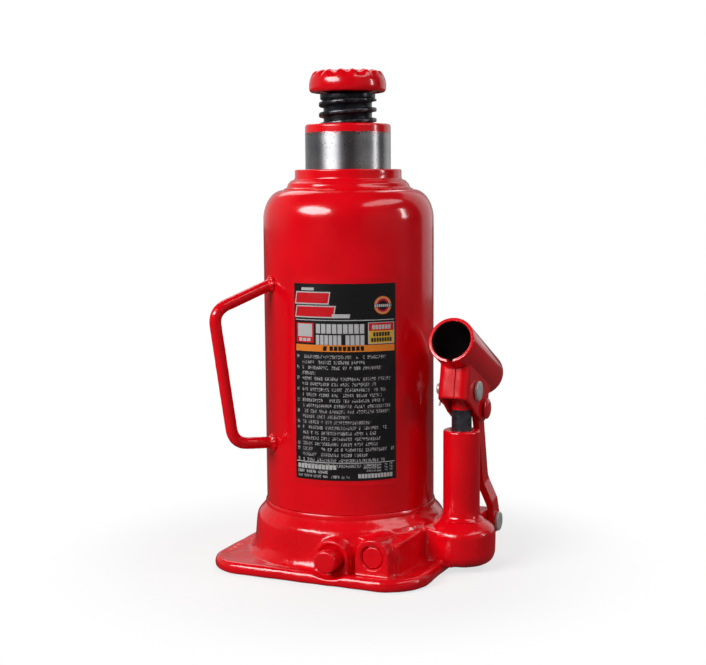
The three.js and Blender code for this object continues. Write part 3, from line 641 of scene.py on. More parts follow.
def ball_steel():
    tones = (0.6, 0.6, 0.6), (0.72, 0.71, 0.7)
    return clouded("ball_steel_finish", 0.002, 3, tones, 0.06, drift=0.08, Metallic=1.0)


def rubber():
    tones = (0.010, 0.010, 0.010), (0.03, 0.03, 0.031)
    return clouded("rubber_finish", 0.0008, 3, tones, 0.5, ramp=None, relief=(0.0008, 3, 0.00004))


def copper():
    tones = (0.42, 0.16, 0.07), (0.65, 0.30, 0.17)
    return clouded("copper_finish", 0.003, 4, tones, 0.25, Metallic=1.0)


def socket_bore_shade():
    """Painted shade: the bore of the handle socket made near black, in place of the shadow inside the tube."""
    tones = (0.010, 0.008, 0.008), (0.035, 0.014, 0.013)
    relief = (0.005, 4, 0.00005)
    return clouded("socket_bore_shade_finish", 0.005, 4, tones, 0.45, ramp=(0.35, 0.75), relief=relief,
                   Specular_IOR_Level=0.25)


def black_oxide(name, painted_from=None, tone=1.0):
    """Oiled black steel, rubbed bright along edges; above `painted_from` mm it is painted red."""
    finish = Finish(name)
    cloud = finish.noise(0.006, 4)
    rub = finish.edges().ramp(0.515, 0.60) * finish.noise(0.0025, 4).ramp(0.38, 0.66)
    dark, light = (tuple(tone * part for part in shade) for shade in OXIDE_SHADES)
    colour = finish.mix(rub, finish.mix(cloud.ramp(0.3, 0.7), dark, light), (0.15, 0.15, 0.16))
    rough = cloud.ramp(0.3, 0.75) * 0.14 + 0.24
    if painted_from:
        ragged = finish.noise(0.003, 3) * 0.0016
        painted = (finish.axes()[2] + ragged).above(painted_from * MM)
        clean = painted * -1.0 + 1.0
        colour = finish.mix(painted, colour, RED)
        finish.set(Metallic=clean * 0.7, Coat_Weight=painted * 0.35, Roughness=rough * clean + painted * 0.22)
    else:
        finish.set(Metallic=0.7, Roughness=rough)
    finish.set(Base_Color=colour)
    finish.bump(finish.noise(0.0014, 4), 0.00005)
    return finish.material


def film():
    """The clear edge of the label, over red paint."""
    finish = Finish("film_finish")
    colour = finish.mix(finish.noise(0.02, 3).ramp(0.3, 0.7), RED_DEEP, RED)
    finish.set(Base_Color=colour, Roughness=finish.noise(0.01, 3) * 0.06 + 0.2, Coat_Weight=0.5)
    finish.bump(finish.noise(0.006, 2), 0.00004)
    return finish.material


# ---- the printed label: bars, strips and rows of marks, with no letters ----

INK = (0.011, 0.010, 0.0105)
WHITE = (0.50, 0.49, 0.49)
PALE = (0.40, 0.39, 0.39)
PRINT_RED = (0.62, 0.006, 0.012)
ORANGE = (0.80, 0.22, 0.02)
YELLOW = (0.72, 0.42, 0.05)
TEXT_TOP = 0.355
TEXT_PITCH = 0.0278
ROW_ENDS = (
    0.89, 0.70, 0.85, 0.22, 0.94, 0.80, 0.89, 0.85, 0.87, 0.97, 0.93,
    0.54, 0.74, 0.90, 0.80, 0.86, 0.81, 0.98, 0.71, 0.89, 0.81,
)
NUMBERED = (1, 3, 5, 7, 9, 11, 13, 14, 17, 18, 20)


def row_table(finish, place, values):
    """A value for each row, looked up by the row's place from 0 to 1."""
    node = finish.add("ValToRGB", Fac=place)
    node.color_ramp.interpolation = "CONSTANT"
    marks = node.color_ramp.elements
    marks.remove(marks[1])
    for i, value in enumerate(values):
        mark = marks.new(i / len(values)) if i else marks[0]
        mark.color = (value, value, value, 1)
    return Field(finish.add("SeparateColor", Color=node.outputs[0]).outputs[0])


def label_print():
    finish = Finish("label_print")
    x, y, z = finish.axes()
    u = (y.math("ARCTAN2", x) - (LABEL_TURN - LABEL_HALF)) / (2 * LABEL_HALF)
    v = (z * -1.0 + LABEL_HIGH.z * MM) / ((LABEL_HIGH.z - LABEL_LOW.z) * MM)
    wide = 2 * LABEL_HALF * SHELL_R
    tall = LABEL_HIGH.z - LABEL_LOW.z

    def box(u0, u1, v0, v1, across=u):
        return across.near((u0 + u1) / 2, (u1 - u0) / 2) * v.near((v0 + v1) / 2, (v1 - v0) / 2)

    def strokes(columns, level, line, keep, gaps):
        """Random dots in a fine grid, grouped like words: `line` picks the grouping."""
        fine = (u * columns).floor()
        word = finish.chance((fine / 4).floor(), line).above(gaps)
        return finish.chance(fine, level).above(keep), (fine / 4).fract().below(0.7) * word

    def marks(left, right, top, bottom, letter, keep=0.5):
        """A row of small marks."""
        level = ((v - top) * (5 / (bottom - top))).floor()
        dot, spaced = strokes(4 / letter, level, 7, keep, 0.17)
        return dot * spaced * box(left, right, top, bottom)

    def blocks(left, right, top, bottom, count):
        """A row of plain blocks with narrow gaps."""
        one = ((u - left) * (count / (right - left))).fract()
        return box(left, right, top, bottom) * one.near(0.45, 0.40)

    slant = u + (v * 0.28)
    colour = INK
    layers = [
        (box(0.035, 0.385, 0.040, 0.104, slant), WHITE),
        (box(0.045, 0.375, 0.046, 0.098, slant), PRINT_RED),
        (box(0.055, 0.455, 0.110, 0.172, slant), WHITE),
        (box(0.065, 0.445, 0.116, 0.166, slant), PRINT_RED),
        (box(0.43, 0.60, 0.152, 0.172, slant), WHITE),
        (box(0.09, 0.22, 0.020, 0.034, slant), WHITE),
        (box(0.012, 0.985, 0.1815, 0.1855), WHITE),
        (box(0.024, 0.208, 0.198, 0.298), PRINT_RED),
        (box(0.040, 0.192, 0.203, 0.268), WHITE),
        (blocks(0.050, 0.180, 0.275, 0.291, 3), WHITE),
        (blocks(0.228, 0.694, 0.202, 0.250, 9), WHITE),
        (blocks(0.228, 0.478, 0.258, 0.307, 6), WHITE),
        (blocks(0.510, 0.694, 0.258, 0.307, 4), WHITE),
        (box(0.722, 0.985, 0.195, 0.304), WHITE),
        (box(0.730, 0.978, 0.198, 0.301), YELLOW),
        (box(0.730, 0.978, 0.198, 0.238), PRINT_RED),
        (blocks(0.76, 0.95, 0.208, 0.230, 6), WHITE),
        (blocks(0.77, 0.94, 0.245, 0.266, 6), INK),
        (blocks(0.75, 0.96, 0.273, 0.294, 8), INK),
        (box(0.017, 0.987, 0.308, 0.342), ORANGE),
        (blocks(0.36, 0.69, 0.314, 0.337, 8), INK),
        (box(0.30, 0.335, 0.314, 0.337, slant - 0.09), INK),
        (box(0.012, 0.985, 0.9075, 0.9115), WHITE),
        (blocks(0.024, 0.42, 0.921, 0.944, 11), WHITE),
        (marks(0.024, 0.34, 0.951, 0.966, 0.020, 0.3), WHITE),
        (marks(0.024, 0.55, 0.975, 0.988, 0.016, 0.45), WHITE),
        (marks(0.70, 0.965, 0.916, 0.926, 0.016, 0.5), WHITE),
        (marks(0.66, 0.965, 0.931, 0.941, 0.016, 0.5), WHITE),
        (marks(0.70, 0.965, 0.946, 0.956, 0.016, 0.5), WHITE),
        (blocks(0.62, 0.965, 0.966, 0.988, 11), WHITE),
    ]
    rows = (v - TEXT_TOP) / TEXT_PITCH
    row = rows.floor()
    in_rows = box(0, 1, TEXT_TOP, TEXT_TOP + TEXT_PITCH * len(ROW_ENDS))
    place = (row + 0.5) / len(ROW_ENDS)
    line = rows.fract()
    dot, spaced = strokes(190, row * 16 + (line * 8).floor(), row, 0.52, 0.16)
    end = row_table(finish, place, ROW_ENDS)
    inked = line.near(0.5, 0.31) * u.above(0.083) * (end - u).above(0)
    text = dot * spaced * inked * in_rows
    number = row_table(finish, place, [float(i + 1 in NUMBERED) for i in range(len(ROW_ENDS))])
    digit = number.above(0.5) * line.near(0.5, 0.31) * u.near(0.037, 0.013) * dot * in_rows
    layers += [(text, PALE), (digit, PALE)]

    across = (u - 0.868) * wide
    down = (v - 0.11) * tall
    reach = (across * across + down * down).math("SQRT")
    layers += [
        (reach.near(4.3, 0.4), ORANGE),
        (reach.near(3.1, 0.55), PRINT_RED),
        (reach.near(3.72, 0.14), WHITE),
        (across.near(0, 5.0) * down.near(0.2, 0.95), INK),
        (across.near(0, 4.7) * down.near(0.2, 0.7) * (across * 0.9).fract().below(0.72), WHITE),
    ]
    for mask, ink in layers:
        colour = finish.mix(mask, colour, ink)
    dusty = finish.noise(0.02, 4).ramp(0.45, 0.8)
    finish.set(Base_Color=colour, Roughness=dusty * 0.12 + 0.26, Coat_Weight=0.25, Coat_Roughness=0.12)
    finish.bump(finish.noise(0.007, 2), 0.00005)
    return finish.material


# ---- base ----


def plate_mesh():
    """The square foot: rounded cast edges and a shallow dish behind a raised rim."""
    corner = 22
    rings = []
    for inset, height in (
        (2, 0), (0.6, 0.5), (0.1, 1.6), (0, 3), (0.35, 4.7), (1.2, 5.9), (2.6, 6.5), (4, 6.3), (5.6, 5.7),
        (8, 5.3), (14, 5.2),
    ):
        outline = rounded_square(PLATE_HALF - inset, corner - inset, 12)
        rings.append([(x, y, height) for x, y in outline])
    return lofted(rings)


def boss_mesh():
    outline = eased([
        (0, 1), (56.5, 1), (56.5, 5, 1.5), (54, 7.6, 2), (52.6, 12, 3), (52.1, 20.5, 2),
        (51.3, 25.4, 1.6), (47.4, 29.6, 1.2), (46.4, 31.3, 0.5), (0, 31.3),
    ])
    return lathe(outline, segments=FINE)


def pump_boss_mesh():
    radius = 18.3
    outline = eased([
        (0, 2.8), (radius, 2.8, 8), (radius, 21, 2.4), (15.5, 24, 2.4), (11.6, 26.4, 1.6),
        (10.9, 27.3, 0.2), (0, 27.3),
    ])
    return lathe(outline, at=(PUMP_X, 0, 0), segments=96)


def pump_web_mesh():
    """The metal that joins the pump boss to the body, its top sloping up to the body."""
    side = [(44, 3), (PUMP_X, 3), (PUMP_X, 21.4), (56, 22.6), (44, 25.2)]
    outline = [(z, x) for x, z in side]
    return prism(outline, -16, 16, "Y")


def port_block_mesh():
    """The shoulder of metal behind the right-hand port, sloping up to the body."""
    verts = []
    for x_front, x_back, z_front, z_back in ((24, 24, 23.4, 26), (46.6, 50.2, 21.4, 22.8)):
        verts += [(x_front, -46, 3), (x_back, -16, 3), (x_back, -16, z_back), (x_front, -46, z_front)]
    faces = [[0, 1, 2, 3], [4, 5, 6, 7], [0, 1, 5, 4], [1, 2, 6, 5], [2, 3, 7, 6], [3, 0, 4, 7]]
    return made(verts, faces)


def lug_mesh():
    ear = 7.2
    outline = [(6, 5), (LUG.y - 5, 5), *arc_points(LUG.y, LUG.z, ear, -45, 90), (6, LUG.z + ear)]
    return prism(outline, PUMP_X - 6.8, PUMP_X + 6.8, "X")


def port_boss_mesh(x, z, face, back):
    """A round-topped boss standing on the foot, seen end on from the front."""
    radius = 9.4
    outline = [(3, x + radius), *arc_points(z, x, radius, 90, -90, 24), (3, x - radius)]
    return prism(outline, face, back, "Y")


def paint_bead_mesh():
    """A run of thick paint in the corner where the reservoir sits on the base."""
    outline = eased([
        (43.5, 30.2), (46.9, 30.4, 0.6), (46.75, 32, 0.7), (46.25, 33.4, 0.7), (45.9, 32.7, 0.2),
        (43.5, 32.6),
    ], shut=True)
    mesh = lathe(outline, segments=240)
    return uneven(mesh, 7, 0.12, 13, lambda co: step(co.xy.length, 45.6, 46.2))


def base_casting_mesh():
    body = joined(
        plate_mesh(),
        boss_mesh(),
        pump_boss_mesh(),
        pump_web_mesh(),
        port_block_mesh(),
        lug_mesh(),
        port_boss_mesh(VALVE.x, VALVE.z, -56, -34),
        port_boss_mesh(PORT.x, PORT.z, -54, -22),
    )
    at_valve, at_port, at_pump = (VALVE.x, 0, VALVE.z), (PORT.x, 0, PORT.z), (PUMP_X, 0, 0)
    wheel = rod(20, -PLATE_HALF * 2, -56.5, "Y", (VALVE.x, 0, 24.1), FINE)
    scallop = boolean(wheel, block((-WIDE, -2 * WIDE, 0), (WIDE, 0, 8.5)), "INTERSECT")
    recess = lathe(eased([(0, -60), (7.4, -60), (7.4, -54.2, 0.6), (0, -54.2)]), "Y", at_valve)
    seat = rod(6.4, -60, -52.6, "Y", at_port)
    body = softened(cut(body, scallop, recess, seat), 0.7, 6)
    uneven(body, 14, 0.24, 1)
    uneven(body, 5, 0.10, 2)
    body = joined(body, paint_bead_mesh())
    inside = stepped(20, [(28.5, 29), (39, 40)], segments=FINE)
    spigot = lathe([(38.9, 28), (42.6, 28), (42.6, 34.6), (42.2, 35), (39, 35), (38.9, 28)],
                   segments=FINE)
    return cut(
        joined(cut(body, inside), spigot),
        stepped(11, [(6.5, 13.8), (8.6, 40)], at=at_pump),
        rod(PIN_HOLE, -12, 12, "X", (PUMP_X, LUG.y, LUG.z)),
        stepped(-70, [(5.3, -37), (3.2, -31.5)], "Y", at_valve),
        stepped(-70, [(5.9, -51), (4.7, -38), (3.2, -32)], "Y", at_port),
        rod(2.9, 6.6, 12, at=at_pump, segments=32),
        stepped(13.8, [(2.8, 18.4), (3.6, 21)], at=(16, 0, 0), segments=32),
        block((-WIDE, -WIDE, -5), (WIDE, WIDE, 0)),
    )


def shell_mesh():
    radius, wall, bottom, shoulder = SHELL_R, 2.6, SHELL_LOW.z, 185.4
    lip, dome_a, dome_b = 33.7, 11, 16.0
    middle = radius - dome_a
    outer = []
    for i in range(25):
        turn = math.pi / 2 * i / 24
        outer.append((middle + dome_a * math.cos(turn), shoulder + dome_b * math.sin(turn)))
    inner = []
    for i in range(12, -1, -1):
        turn = math.pi / 2 * i / 12
        inner.append((middle + (dome_a - wall) * math.cos(turn), shoulder + (dome_b - wall) * math.sin(turn)))
    walls = [(radius, bottom + (shoulder - bottom) * k / 24) for k in range(1, 24)]
    top = shoulder + dome_b
    outline = [(radius - wall, bottom), (radius - 0.5, bottom), (radius, bottom + 0.5), *walls, *outer,
               (lip, top), (lip, top - wall), *inner, (radius - wall, bottom)]
    mesh = lathe(outline, segments=192)
    uneven(mesh, 60, 0.10, 3)
    return cut(mesh, rod(5, 30, 60, "Y", (0, 0, FILLER.z), 48))


def nut_mesh():
    """The top nut; its rounded shoulder carries a few rings left by the lathe under the paint."""
    outline = eased([
        (28.5, 186), (33.2, 186, 0.5), (33.2, 198.6), (31.4, 198.6), (31.4, 200.8), (33.2, 200.8),
        (33.2, 201.1), (34.7, 201.1, 0.1), (34.95, 201.9, 0.3), (33.5, 202.35, 0.4), (33.05, 203.1, 0.4),
        (32.5, 204.7, 0.9), (31.6, 205.3, 0.35), (31.2, 206, 0.4), (30, 206.5, 0.5), (29, 206.9, 0.5),
        (28.75, 208.2, 0.6), (28.75, NUT_TOP, 1), (25.9, NUT_TOP, 0.3), (25.9, 208.3), (23.3, 208.3),
        (23.3, 196.3), (28.5, 196.3),
    ], shut=True)
    mesh = lathe(outline, segments=240)

    def on_shoulder(co):
        return step(co.z, 201.6, 202.6) * (1 - step(co.z, 207.2, 208.2)) * step(co.xy.length, 28, 28.6)

    return uneven(mesh, 14, 0.16, 4, on_shoulder, squash=9.0)


def wiper_mesh():
    outline = eased([
        (23.3, 208.6), (25.6, 208.6), (25.6, 211.6, 0.3), (24.2, 212, 0.3), (23.3, 211, 0.2),
    ], shut=True)
    return lathe(outline, segments=FINE)


def filler_mesh():
    outline = eased([
        (0, SHELL_R - 6.6), (3.7, SHELL_R - 6.6, 0.6), (4.7, SHELL_R - 4.2, 0.4), (4.7, SHELL_R + 0.3),
        (7.2, SHELL_R + 0.5, 0.4), (7.2, SHELL_R + 2, 0.8), (5.4, SHELL_R + 3.5, 1),
        (3, SHELL_R + 3.3, 0.6), (2.4, SHELL_R + 2.6, 0.4), (0, SHELL_R + 2.6),
    ])
    return lathe(outline, "Y", (0, 0, FILLER.z), 64)


def sheet_mesh(inner, outer, half, low, high, steps=96):
    """A thin curved sheet lying on the reservoir."""
    verts, faces = [], []
    for i in range(steps + 1):
        angle = LABEL_TURN - half + 2 * half * i / steps
        for radius, height in ((inner, low), (outer, low), (outer, high), (inner, high)):
            verts.append((radius * math.cos(angle), radius * math.sin(angle), height))
    for i in range(steps):
        for k in range(4):
            a, b = 4 * i + k, 4 * i + (k + 1) % 4
            faces.append([a, b, b + 4, a + 4])
    faces.append([0, 1, 2, 3])
    faces.append([4 * steps + k for k in range(4)])
    return made(verts, faces)


def handle_mesh():
    """The bent carry rod with a run of weld round each end."""
    def at(out, z, aside=0.0):
        x = out * math.cos(HANDLE_TURN) - aside * math.sin(HANDLE_TURN)
        y = out * math.sin(HANDLE_TURN) + aside * math.cos(HANDLE_TURN)
        return Vector((x, y, z))

    foot = SHELL_R - 2
    ends = (at(foot, 153), at(foot, 67.2))
    path = bent([ends[0], at(79, 139.5), at(69, 68.8), ends[1]], 8)
    parts = [swept(path, 3.15, 32)]
    lumps, weld_reach = 9, 3.3
    for index, end in enumerate(ends):
        sag = 0.77 if index == 0 else 0.0
        for k in range(lumps):
            turn = 2 * math.pi * k / lumps + index
            size = 1.5625 + 0.5625 * noise.noise(Vector((k * 3.1, index * 7.7, 2)))
            out = SHELL_R + 0.5 + 0.25 * math.sin(2 * turn)
            up = end.z - sag + weld_reach * math.sin(turn)
            parts.append(lump(at(out, up, weld_reach * math.cos(turn)), size))
    body = softened(joined(*parts), 0.45, 5)
    uneven(body, 2.5, 0.10, 6)
    return cut(body, rod(SHELL_R - 0.25, 20, 190, segments=192))


# ---- ram, screw and saddle ----


def ram_mesh():
    top = RAM_HIGH.z
    outline = eased([
        (0, RAM_LOW.z), (14, RAM_LOW.z, 0.4), (14, 49.5), (24.7, 49.5, 0.4), (24.7, 57, 0.4), (RAM_R, 57),
        (RAM_R, top, 1.6), (16.1, top, 0.4), (16.1, 229.4), (SCREW_ROOT + GAP, 229.4),
        (SCREW_ROOT + GAP, 218.5), (16.1, 218.5), (16.1, 138), (0, 138),
    ])
    body = lathe(outline, segments=FINE)
    nut = thread(SCREW_START + PITCH * 9 + GAP, 6, SCREW_ROOT + GAP, SCREW_CREST + GAP, (1.8, 0.6, 2.5))
    return cut(body, nut)


def screw_mesh():
    """Square-ish thread between a plain foot and the collar under the saddle."""
    end = 249.3
    worm = thread(SCREW_START, 16, SCREW_ROOT, SCREW_CREST, (2.4, 0.6, 1.9))
    worm = boolean(worm, rod(17, SCREW_START + PITCH, end), "INTERSECT")
    foot = lathe(eased([
        (0, SCREW_LOW.z), (12.6, SCREW_LOW.z, 1), (12.6, 160), (10, 160), (10, SCREW_START),
        (SCREW_ROOT, SCREW_START), (SCREW_ROOT, SCREW_START + PITCH + 1), (0, SCREW_START + PITCH + 1),
    ]), segments=96)
    head = lathe(eased([
        (0, end - 1), (SCREW_ROOT, end - 1, 0.3), (14.8, end + 0.2, 0.6), (14.8, 252.1, 0.3), (9, 252.1),
        (9, SCREW_HIGH.z, 0.5), (0, SCREW_HIGH.z),
    ]), segments=96)
    return joined(worm, foot, head)


def saddle_mesh():
    """The load pad: a flat middle and rounded ridges running out to the edge."""
    low, top = SADDLE_LOW.z, SADDLE_HIGH.z
    ridges = 16
    rim = eased([
        (18.6, low + 0.2, 1.4), (20.5, low + 1.2, 1.4), (20.75, low + 4.6, 2.4), (20, low + 8.4, 2.2),
        (18.5, low + 11.3, 1.6), (16.6, top, 0.9),
    ], 8)
    crown = [(r / 2, top) for r in range(32, 0, -1)]
    outline = [(0, 258.3), (9.3, 258.3), (9.3, low + 0.3), (9.6, low), *rim, *crown, (0, top)]
    mesh = lathe(outline, segments=240)
    uneven(mesh, 9, 0.12, 7, lambda co: step(co.xy.length, 18, 20))
    for vertex in mesh.vertices:
        reach = vertex.co.xy.length
        if vertex.co.z < top - 4.8 or reach < 8:
            continue
        turn = math.atan2(vertex.co.y, vertex.co.x)
        sway = 0.35 * noise.noise(Vector((3 * math.cos(turn), 3 * math.sin(turn), 4)))
        groove = 0.5 - 0.5 * math.cos(ridges * turn + sway * 4)
        depth = 1.35 * step(reach, 10.8, 13.2) * step(vertex.co.z, top - 4.8, top - 0.8)
        vertex.co.z -= depth * (1 - groove) ** 1.6
    return mesh


# ---- pump, handle socket and link ----


def cylinder_mesh():
    radius, spigot, bore = 9.8, 8.3, 5.65
    top = PUMP_HIGH.z
    outline = eased([
        (bore, PUMP_LOW.z), (spigot, PUMP_LOW.z, 0.3), (spigot, 27), (12, 26.6, 0.2), (10.4, 28.2, 1.2),
        (radius, 31.2, 1.6), (radius, 50), (radius, top, 1.3), (6.2, top, 0.5), (bore, top - 0.8),
        (bore, top - 4), (bore + 1.6, top - 4), (bore + 1.6, top - 7), (bore, top - 7),
    ], shut=True)
    mesh = lathe(outline, at=(PUMP_X, 0, 0), segments=96)
    return uneven(mesh, 12, 0.06, 8)


def plunger_mesh():
    radius, low, top = 5.35, PLUNGER_LOW.z, PLUNGER_HIGH.z
    outline = eased([
        (0, low), (radius, low, 0.3), (radius, low + 3), (radius - 1.2, low + 3), (radius - 1.2, low + 6),
        (radius, low + 6), (radius, top, 1.6), (0, top),
    ])
    body = lathe(outline, at=(PUMP_X, 0, 0), segments=64)
    return cut(body, rod(PIN_HOLE, -10, 10, "X", (PUMP_X, 0, PIN_Z), 48))


def pin_mesh(node, at):
    """A headed pin along X whose head is slightly domed."""
    low, high = span(node)
    head, tail = high.x - PUMP_X, low.x - PUMP_X
    outline = eased([
        (0, tail), (3, tail, 0.7), (3, head - 1.7), (5.25, head - 1.7, 0.25), (5.25, head - 0.2, 0.6),
        (2.5, head, 1.2), (0, head),
    ])
    body = lathe(outline, "X", (PUMP_X, at[0], at[1]), 64)
    hole = (PUMP_X + tail + 2.2, at[0], 0)
    return cut(body, rod(1.15, at[1] - 6, at[1] + 6, at=hole, segments=24))


def cotter_mesh(node, at):
    """A split pin: an eye above, two legs down through the pin, spread below."""
    low, high = span(node)
    x = (low.x + high.x) / 2 + 0.35
    y, z = at
    wire = 0.54
    legs = [
        (x - 1, y - 1.2, z - 9), (x - 0.1, y - 0.65, z - 5.2), (x, y - 0.56, z), (x, y - 0.56, z + 3.6),
        (x, y - 1.5, z + 5.3), (x, y - 1.3, z + 7.2), (x, y, z + 7.9), (x, y + 1.3, z + 7.2),
        (x, y + 1.5, z + 5.3), (x, y + 0.56, z + 3.6), (x, y + 0.56, z), (x + 0.1, y + 0.65, z - 5),
        (x + 0.6, y + 1.5, z - 7.6),
    ]
    return swept(smooth_path(legs, 6), wire, 12)


def yoke_outline(half, front, corner, back):
    left = arc_points(corner - half, front + corner, corner, 180, 270, 10)
    right = [(-x, y) for x, y in reversed(left)]
    return [(-half, back), *left, *right, (half, back)]


def socket_mesh():
    """Folded sheet yoke under a tube, drawn level round the plunger pin and then tipped up."""
    half, wall, front, corner, lean = 8.4, 1.9, -16.6, 4.5, 0.237
    radius, bore, lift, mouth, back = 12.3, 10.4, 18.35, -27.9, 29.1
    low = -14.0
    rivet = Matrix.Rotation(TILT, 4, "X") @ Vector((0, RIVET.y, RIVET.z - PIN_Z))
    shear = Matrix(((1, 0, 0, 0), (0, 1, -lean, 0), (0, 0, 1, 0), (0, 0, 0, 1)))
    outer = prism(yoke_outline(half, front, corner, 2 * back), low, lift)
    room = prism(yoke_outline(half - wall, front + wall, corner - wall, 24.5), low - 2, lift)
    crease = block((1.1, front - 1, low), (2, front + 0.8, lift - 12))
    for mesh in (outer, room, crease):
        mesh.transform(shear)
    side = [
        (-26, lift), (-26, -8.6), (-1.5, -9.4), (6, -11.1),
        *arc_points(rivet.y, rivet.z, 6.9, -90, 30, 16),
        (21.1, 4.3), (22.5, 9.5), (22.5, lift),
    ]
    cheeks = boolean(outer, prism(side, -2 * half, 2 * half, "X"), "INTERSECT")
    core = rod(radius - 0.8, mouth + 2, back - 2, "Y", (0, 0, lift), 96)
    cheeks = softened(cut(joined(core, cheeks), room), 0.4, 4)
    uneven(cheeks, 7, 0.10, 9)
    slit = prism([(-0.7, mouth - 1), (2.6, mouth - 1), (1.9, -19), (1.2, -19)], 4, lift - 9)
    tube = eased([(0, mouth), (radius, mouth, 0.7), (radius, back, 0.7), (0, back)])
    inside = eased([
        (0, mouth - 1), (bore + 0.6, mouth - 1), (bore, mouth + 0.3, 0.3), (bore, back - 0.3, 0.3),
        (bore + 0.6, back + 1), (0, back + 1),
    ])
    body = cut(
        joined(lathe(tube, "Y", (0, 0, lift), 128), cheeks),
        lathe(inside, "Y", (0, 0, lift), 128),
        crease,
        slit,
        boolean(room, block((-half, front, -20), (half, 24, lift)), "INTERSECT"),
        rod(PIN_HOLE, -20, 20, "X", segments=48),
        rod(2.9, -20, 20, "X", (0, rivet.y, rivet.z), 48),
    )
    # faces inside the bore take the second finish, which is painted shade
    for face in body.polygons:
        middle = face.center
        off = math.hypot(middle.x, middle.z - lift)
        if off < bore + 0.15 and mouth + 0.4 < middle.y < back - 0.4:
            face.material_index = 1
    body.transform(Matrix.Translation((PUMP_X, 0, PIN_Z)) @ Matrix.Rotation(-TILT, 4, "X"))
    return body


def rivet_mesh():
    low, high = span("link_rivet")
    reach = (high.x - low.x) / 2
    face = reach - 2.4
    half = [
        (0, -reach), (3.9, -reach + 0.1, 1.2), (5.6, -reach + 1, 0.7), (5.6, -face - 0.75, 0.3),
        (3.6, -face - 0.55), (3.6, -face), (2.6, -face),
    ]
    outline = half + [(r, -h, *c) for r, h, *c in reversed(half)]
    return lathe(eased(outline), "X", (PUMP_X, RIVET.y, RIVET.z), 64)


def link_mesh(side):
    """One flat link, set over towards the middle above the pump boss."""
    width, thick, inner, low_end, eye = 9.2, 3.6, 2.5, 6, 6.0
    jog_low, jog_high, wide = 12, 23.5, 7.2
    across = Vector((RIVET.y - LUG.y, RIVET.z - LUG.z))
    length = across.length
    top = length + eye
    bend = [
        (-low_end, wide), (-low_end, wide + thick), (jog_low, wide + thick, 2.5),
        (jog_high + 2, inner + thick, 2.5), (top + 1, inner + thick), (top + 1, inner),
        (jog_high, inner, 2.5), (jog_low - 2, wide, 2.5),
    ]
    bend = [(z, side * x) for z, x in eased(bend)]
    strip = prism(bend, -low_end - 1, low_end + 1, "Y")
    face = eased([
        *arc_points(0, 0, low_end, 180, 360, 24),
        (width / 2, low_end + 3), (width / 2, length - 7.5),
        *arc_points(0, length, eye, -28, 208, 32),
        (-width / 2, length - 7.5), (-width / 2, low_end + 3),
    ])
    blank = prism(face, -20, 20, "X")
    body = softened(boolean(strip, blank, "INTERSECT"), 0.4, 3)
    uneven(body, 6, 0.08, 10 + side)
    body = cut(
        body,
        rod(PIN_HOLE, -20, 20, "X", segments=48),
        rod(3.65, -20, 20, "X", (0, 0, length + 0.11), 48),
    )
    turn = math.atan2(LUG.y - RIVET.y, RIVET.z - LUG.z)
    body.transform(Matrix.Translation(LUG) @ Matrix.Rotation(turn, 4, "X"))
    return body


# ---- valves ----


def stem_mesh():
    """The release valve: a round end with a slight flat each side for a notched handle end."""
    low, high = span("release_valve_stem")
    tip, nose = low.y, high.y
    outline = eased([
        (0, tip + 1.6), (STUB_R, tip + 1.6, 1.7), (STUB_R, -54.3, 0.5), (5, -54.3), (5, -50.4),
        (3.8, -50.4), (3.8, -47.8), (5, -47.8), (5, -38, 0.5), (2.2, -37.4), (2.2, nose, 0.3), (0, nose),
    ])
    body = lathe(outline, "Y", (VALVE.x, 0, VALVE.z), 64)
    for side in (-1, 1):
        near, far = sorted((VALVE.x + side * (STUB_R - 0.45), VALVE.x + side * 12))
        body = cut(body, block((near, tip - 1, VALVE.z - 9), (far, -59.5, VALVE.z + 9)))
    rounding = {"width": 0.35, "segments": 3, "limit_method": "ANGLE", "angle_limit": math.radians(50)}
    return evaluated(body, ("BEVEL", rounding))


def port_plug_mesh():
    low, high = span("port_plug")
    radius = 5.6
    outline = eased([
        (0, low.y + 0.25), (2.5, low.y + 0.1), (radius - 0.4, low.y, 0.5), (radius, low.y + 0.6, 0.3),
        (radius, high.y), (0, high.y),
    ])
    mesh = lathe(outline, "Y", (PORT.x, 0, PORT.z), 64)
    return uneven(mesh, 1.8, 0.15, 12)


# ---- assembly ----


